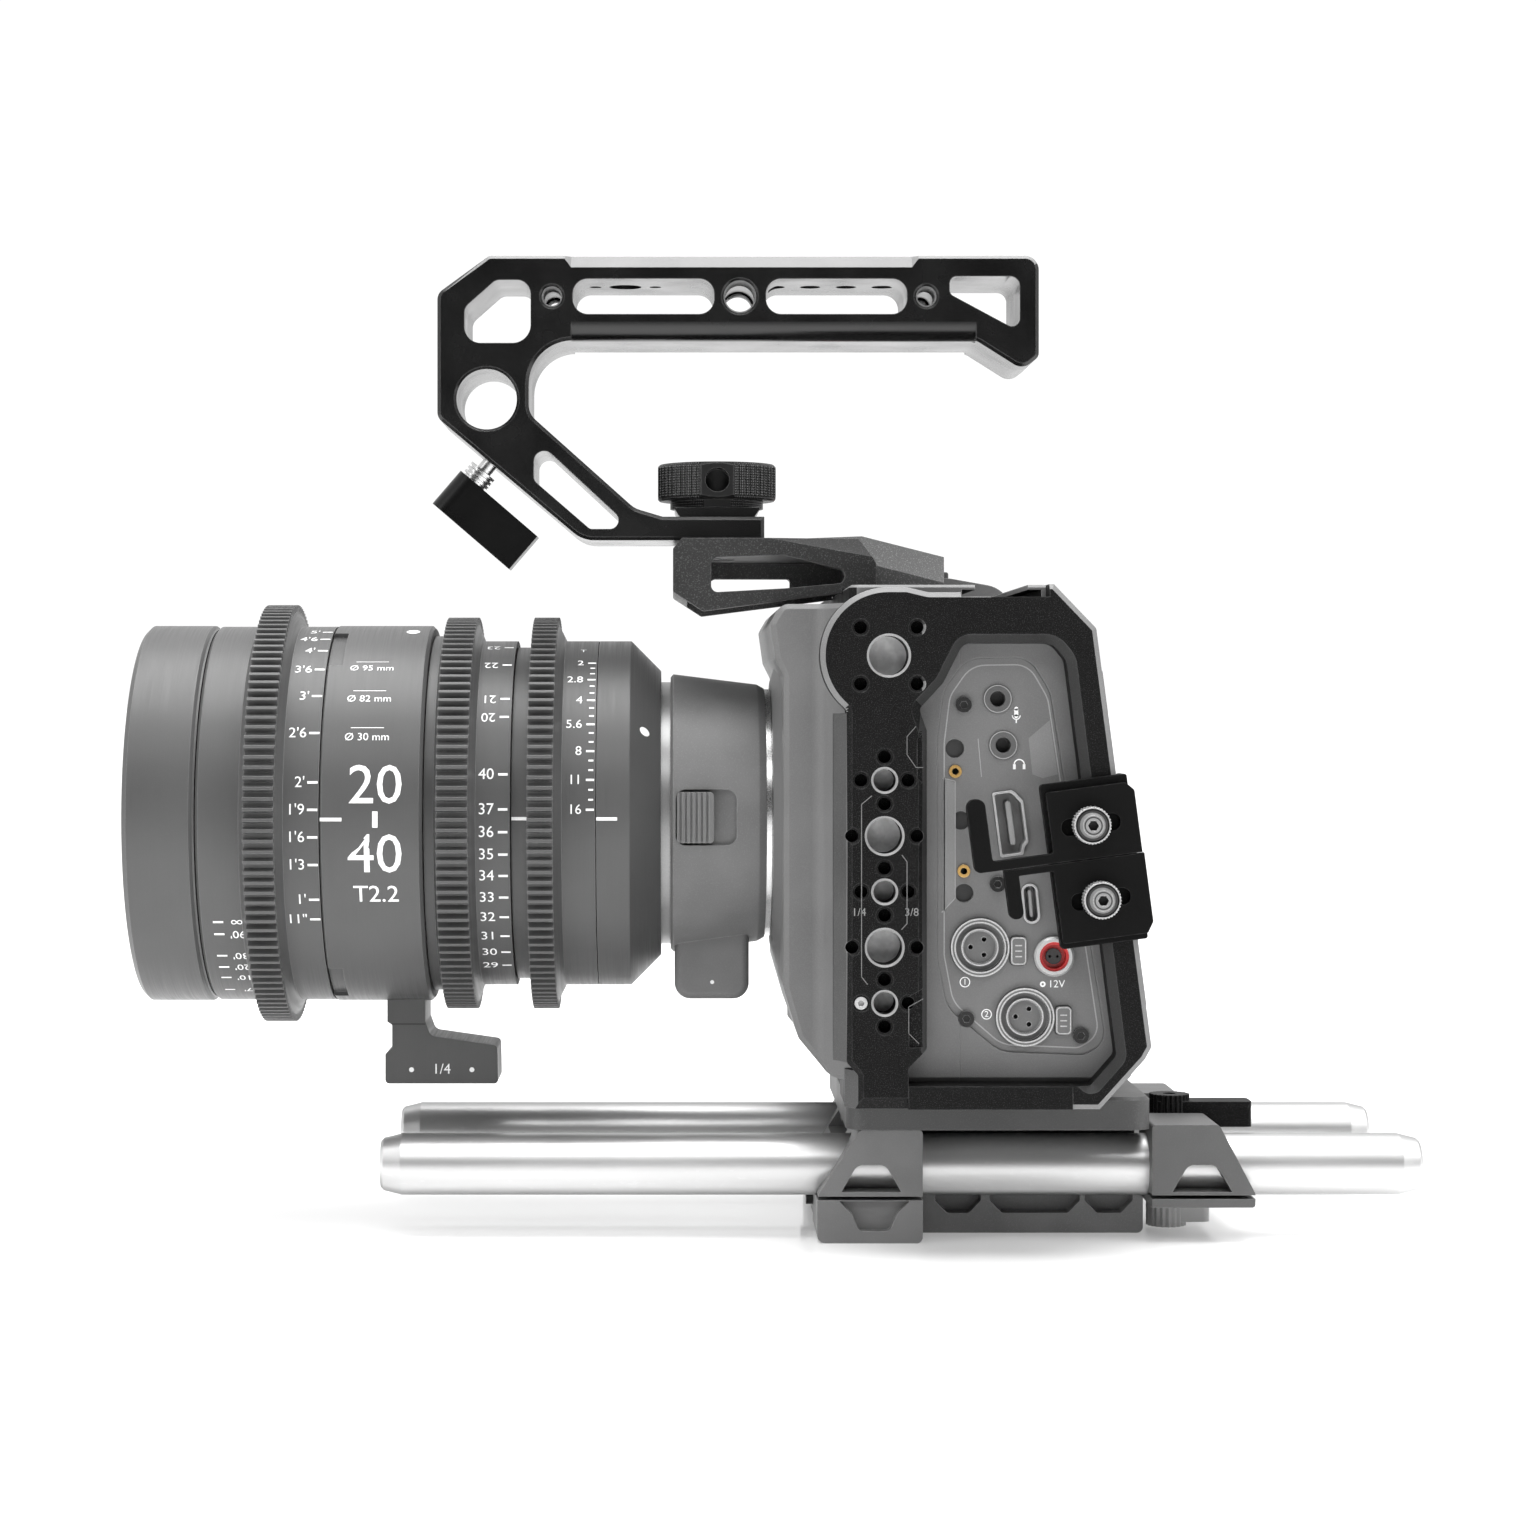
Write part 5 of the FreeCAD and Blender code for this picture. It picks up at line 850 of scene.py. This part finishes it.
def mark_panel_relief():
    """Painted highlight along the panel's raised border, and painted light on its two facets."""
    place = on_side(low("port_panel").y)
    left, right = -25.3, 14.6
    bottom, top = 47.4, 141.2
    inset = 1.7
    wide, tall = 1 - 2 * inset / (right - left), 1 - 2 * inset / (top - bottom)
    cx, cz = (left + right) / 2, (bottom + top) / 2
    inner = [(cx + (x - cx) * wide, cz + (z - cz) * tall, radius * wide) for x, z, radius in PANEL_LINE]
    border = Marks()
    border.line(rounded_path(inner), 0.32, place)
    border.line([(-24.0, 112.7), (-21.0, 112.0), (-21.0, 84.4), (-24.2, 81.0)], 0.25, place)
    border.line([(-14.8, 113.0), (-15.6, 122.0)], 0.2, place)
    border.paint("panel_border_highlight", "panel_painted_light", "camera_sled", "panel_plastic")
    facets = Marks()
    facets.shape([(-23.7, 112.4), (-21.1, 111.8), (-21.1, 84.6), (-23.7, 81.6)], [(3, 2, 1, 0)], place)
    facets.shape([(-3.7, 122.1), (1.3, 126.4), (3.2, 113.6), (-0.3, 112.7), (-2.8, 113.6)],
                 [(4, 3, 2, 1, 0)], place)
    facets.paint("lit_panel_facets", "panel_facet_light", "camera_sled", "panel_plastic")


def mark_socket_edges():
    """Painted highlight on the audio sockets' turned edges, the jacks' rims and the push tabs' outlines and
    ribs.
    """
    edges = Marks()
    bezel, lip, jack = on_side(-60.3 * MM), on_side(-59.6 * MM), on_side(-59.7 * MM)
    for spot in AUDIO:
        edges.disc(6.9, bezel, at=spot, inner=6.52, steps=64)
        edges.disc(6.1, bezel, at=spot, inner=5.82, steps=64)
        edges.disc(4.4, lip, at=spot, inner=4.1, steps=48)
    edges.paint("socket_edge_highlights", "painted_edge_highlight", "camera_sled", "socket_metal")
    rims = Marks()
    for spot in JACKS:
        rims.disc(3.28, jack, at=spot, inner=3.06, steps=40)
    rims.paint("jack_rim_highlights", "panel_painted_light", "camera_sled", "socket_metal")
    inset = 0.25
    for name in ("audio_tab_upper", "audio_tab_lower"):
        tab = Marks()
        x0, x1 = low(name).x / MM + inset, high(name).x / MM - inset
        z0, z1 = low(name).z / MM + inset, high(name).z / MM - inset
        place = on_side(low(name).y)
        tab.line(rounded_path([(x0, z0, 0.8), (x1, z0, 0.8), (x1, z1, 0.8), (x0, z1, 0.8)]), 0.24, place)
        for rib in range(3):
            z = (z0 + z1) / 2 + (rib - 1) * 1.3
            tab.line([(x0 + 0.8, z), (x1 - 0.8, z)], 0.3, place)
        tab.paint(name + "_marks", "painted_edge_highlight", name, "black_plastic")


def mark_clamp_screws():
    """Painted shade in the turned grooves of the cable clamps' screw faces, as dark rings."""
    for name in ("hdmi_clamp_screw", "usb_clamp_screw"):
        rings = Marks()
        spot = (middle(name).x / MM, middle(name).z / MM)
        rings.disc(2.1, on_side(low(name).y), at=spot, inner=1.8, steps=40)
        rings.disc(3.5, on_side(low(name).y + 1.3 * MM), at=spot, inner=3.02, steps=40)
        rings.paint(name + "_rings", "recess_shade_and_seam", name, "bright_steel")


def mark_panel():
    """Socket icons and numbers."""
    marks = Marks()
    place = on_side(low("port_panel").y)
    # microphone
    marks.bar(0.95, 1.8, place, at=(-6.6, 128.2))
    marks.disc(0.475, place, at=(-6.6, 129.1), steps=12)
    marks.disc(0.475, place, at=(-6.6, 127.3), steps=12)
    marks.disc(1.05, place, at=(-6.6, 127.5), inner=0.8, start=180, turn=180, steps=12)
    marks.bar(0.3, 0.8, place, at=(-6.6, 126.1))
    # headphones
    marks.disc(1.35, place, at=(-5.9, 115.9), inner=1.05, start=0, turn=180, steps=16)
    for side in (-1, 1):
        marks.bar(0.65, 1.2, place, at=(-5.9 + side * 1.15, 115.4))
    for words, x, z in (("1", -18.7, 64.6), ("2", -13.6, 57.0)):
        marks.disc(1.25, place, at=(x, z), inner=1.02)
        marks.text(words, 1.45, place, at=(x, z))
    marks.text("12V", 1.8, place, at=(2.9, 64.1), bold=0.003)
    marks.disc(0.68, place, at=(-0.35, 64.1), inner=0.28)
    marks.paint("panel_marks", "ink", "camera_sled", "panel_plastic")


# ---- threads ------------------------------------------------------------------------------------
THREAD_PITCH, THREAD_DEPTH = 1.27, 0.4
HANDLE_HALF = 16.5                          # half the handle's width
HANDLE_BORES = [(-117.8, SMALL_THREAD), (-70.9, LARGE_THREAD), (-24.4, SMALL_THREAD)]
HANDLE_BORES_Z = 231.8


def thread_rings(name, x, bore, y0, y1):
    """The ridges of a tapped hole in the handle: a zigzag sleeve just inside the plain bore of the solid."""
    z, steps = HANDLE_BORES_Z, 40
    count = int(round(abs(y1 - y0) / THREAD_PITCH * 2))
    points, faces = [], []
    for ring in range(count + 1):
        radius = bore - (0.03 if ring % 2 == 0 else THREAD_DEPTH)
        y = y0 + (y1 - y0) * ring / count
        for i in range(steps):
            angle = 2 * math.pi * i / steps
            points.append(((x + radius * math.cos(angle)) * MM, y * MM, (z + radius * math.sin(angle)) * MM))
    for ring in range(count):
        for i in range(steps):
            a, b = ring * steps + i, ring * steps + (i + 1) % steps
            faces.append((a, b, b + steps, a + steps))
    mesh = bpy.data.meshes.new(name)
    mesh.from_pydata(points, [], faces)
    mesh.materials.append(LOOKS["thread_metal"])
    piece = bpy.data.objects.new(name, mesh)
    bpy.context.scene.collection.objects.link(piece)
    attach(piece, "camera_sled")


def build_threads():
    """Threads at both mouths of the three holes through the handle."""
    outer, inner = HANDLE_HALF - 0.7, HANDLE_HALF - 8.7
    for number, (x, bore) in enumerate(HANDLE_BORES):
        for side, tag in ((-1, "near"), (1, "far")):
            thread_rings(f"handle_thread_{number}_{tag}", x, bore, side * outer, side * inner)


# ---- stage --------------------------------------------------------------------------------------
def build_stage():
    """A pale floor as far as the eye can see."""
    bottom = cad_box[0][2]
    mesh = bpy.data.meshes.new("floor")
    half = 40.0
    corners = [(x * half, y * half, bottom) for x, y in ((-1, -1), (1, -1), (1, 1), (-1, 1))]
    mesh.from_pydata(corners, [], [(0, 1, 2, 3)])
    floor = bpy.data.objects.new("floor", mesh)
    bpy.context.scene.collection.objects.link(floor)
    look = Look("pale_floor")
    haze = look.noise(900, 3)
    look.set(Base_Color=look.blend(haze, grey(0.93), grey(0.96)), Roughness=0.12, Specular_IOR_Level=0.3)
    look.set(Emission_Color=grey(1.0), Emission_Strength=0.18)
    mesh.materials.append(look.done())


def build_world():
    """White all round to the eye, but dark behind the camera to the object, so that its faces stay deep."""
    world = bpy.data.worlds.new("studio")
    bpy.context.scene.world = world
    world.use_nodes = True
    tree = world.node_tree
    background = tree.nodes["Background"]
    coordinate = tree.nodes.new("ShaderNodeTexCoord")
    parts = tree.nodes.new("ShaderNodeSeparateXYZ")
    reach = tree.nodes.new("ShaderNodeMapRange")
    tree.links.new(coordinate.outputs["Generated"], parts.inputs[0])
    tree.links.new(parts.outputs["Y"], reach.inputs["Value"])
    reach.inputs["From Min"].default_value = -0.85
    reach.inputs["From Max"].default_value = -0.1
    reach.inputs["To Min"].default_value = 0.075
    reach.inputs["To Max"].default_value = 1.05
    seen = tree.nodes.new("ShaderNodeLightPath")
    strength = tree.nodes.new("ShaderNodeMath")
    strength.operation = "MAXIMUM"
    tree.links.new(reach.outputs["Result"], strength.inputs[0])
    tree.links.new(seen.outputs["Is Camera Ray"], strength.inputs[1])
    tree.links.new(strength.outputs[0], background.inputs["Strength"])
    background.inputs["Color"].default_value = (1, 1, 1, 1)


def softbox(name, place, target, size, power):
    """A rectangular light that looks at its target."""
    light = bpy.data.lights.new(name, "AREA")
    light.shape = "RECTANGLE"
    light.size, light.size_y = size
    light.energy = power
    lamp = bpy.data.objects.new(name, light)
    lamp.location = place
    aim = Vector(target) - Vector(place)
    lamp.rotation_euler = aim.to_track_quat("-Z", "Y").to_euler()
    bpy.context.scene.collection.objects.link(lamp)


def build_lights():
    """A wide light overhead, one at each side, a small one high in front and a soft sky."""
    centre = (Vector(cad_box[0]) + Vector(cad_box[1])) / 2
    softbox("overhead", (centre.x, centre.y - 0.1, 1.3), centre, (1.6, 1.0), 19)
    softbox("left", (centre.x - 1.2, -0.7, 0.5), centre, (0.5, 1.1), 5)
    softbox("right", (centre.x + 1.2, -0.6, 0.6), centre, (0.5, 1.1), 5)
    softbox("front_high", (centre.x, -1.3, 1.25), centre, (0.9, 0.4), 6)
    sky = bpy.data.lights.new("sky", "SUN")
    sky.energy = 1.5
    sky.angle = math.radians(50)
    lamp = bpy.data.objects.new("sky", sky)
    bpy.context.scene.collection.objects.link(lamp)


EYE = Vector((-0.087, -0.809, 0.131))   # level and square to the rig's left side
FOCAL_LENGTH, FILM = 74.5, 36.0
SHIFT = (0.0603, -0.0439)


def build_camera():
    """The picture's viewpoint, with its frame shifted rather than turned."""
    data = bpy.data.cameras.new("camera")
    data.lens = FOCAL_LENGTH
    data.sensor_width = FILM
    data.shift_x, data.shift_y = SHIFT
    data.clip_start = 0.01
    camera = bpy.data.objects.new("camera", data)
    camera.location = EYE
    camera.rotation_euler = (math.pi / 2, 0, 0)
    bpy.context.scene.collection.objects.link(camera)
    bpy.context.scene.camera = camera


finish_nodes()
finish_cage()
finish_sockets()
finish_fittings()
build_threads()
mark_focus_ring()
mark_zoom_ring()
mark_iris_ring()
mark_barrels()
mark_foot()
mark_cage()
mark_panel_relief()
mark_socket_edges()
mark_clamp_screws()
mark_panel()
build_stage()
build_world()
build_lights()
build_camera()
bpy.context.scene.view_settings.view_transform = "Standard"
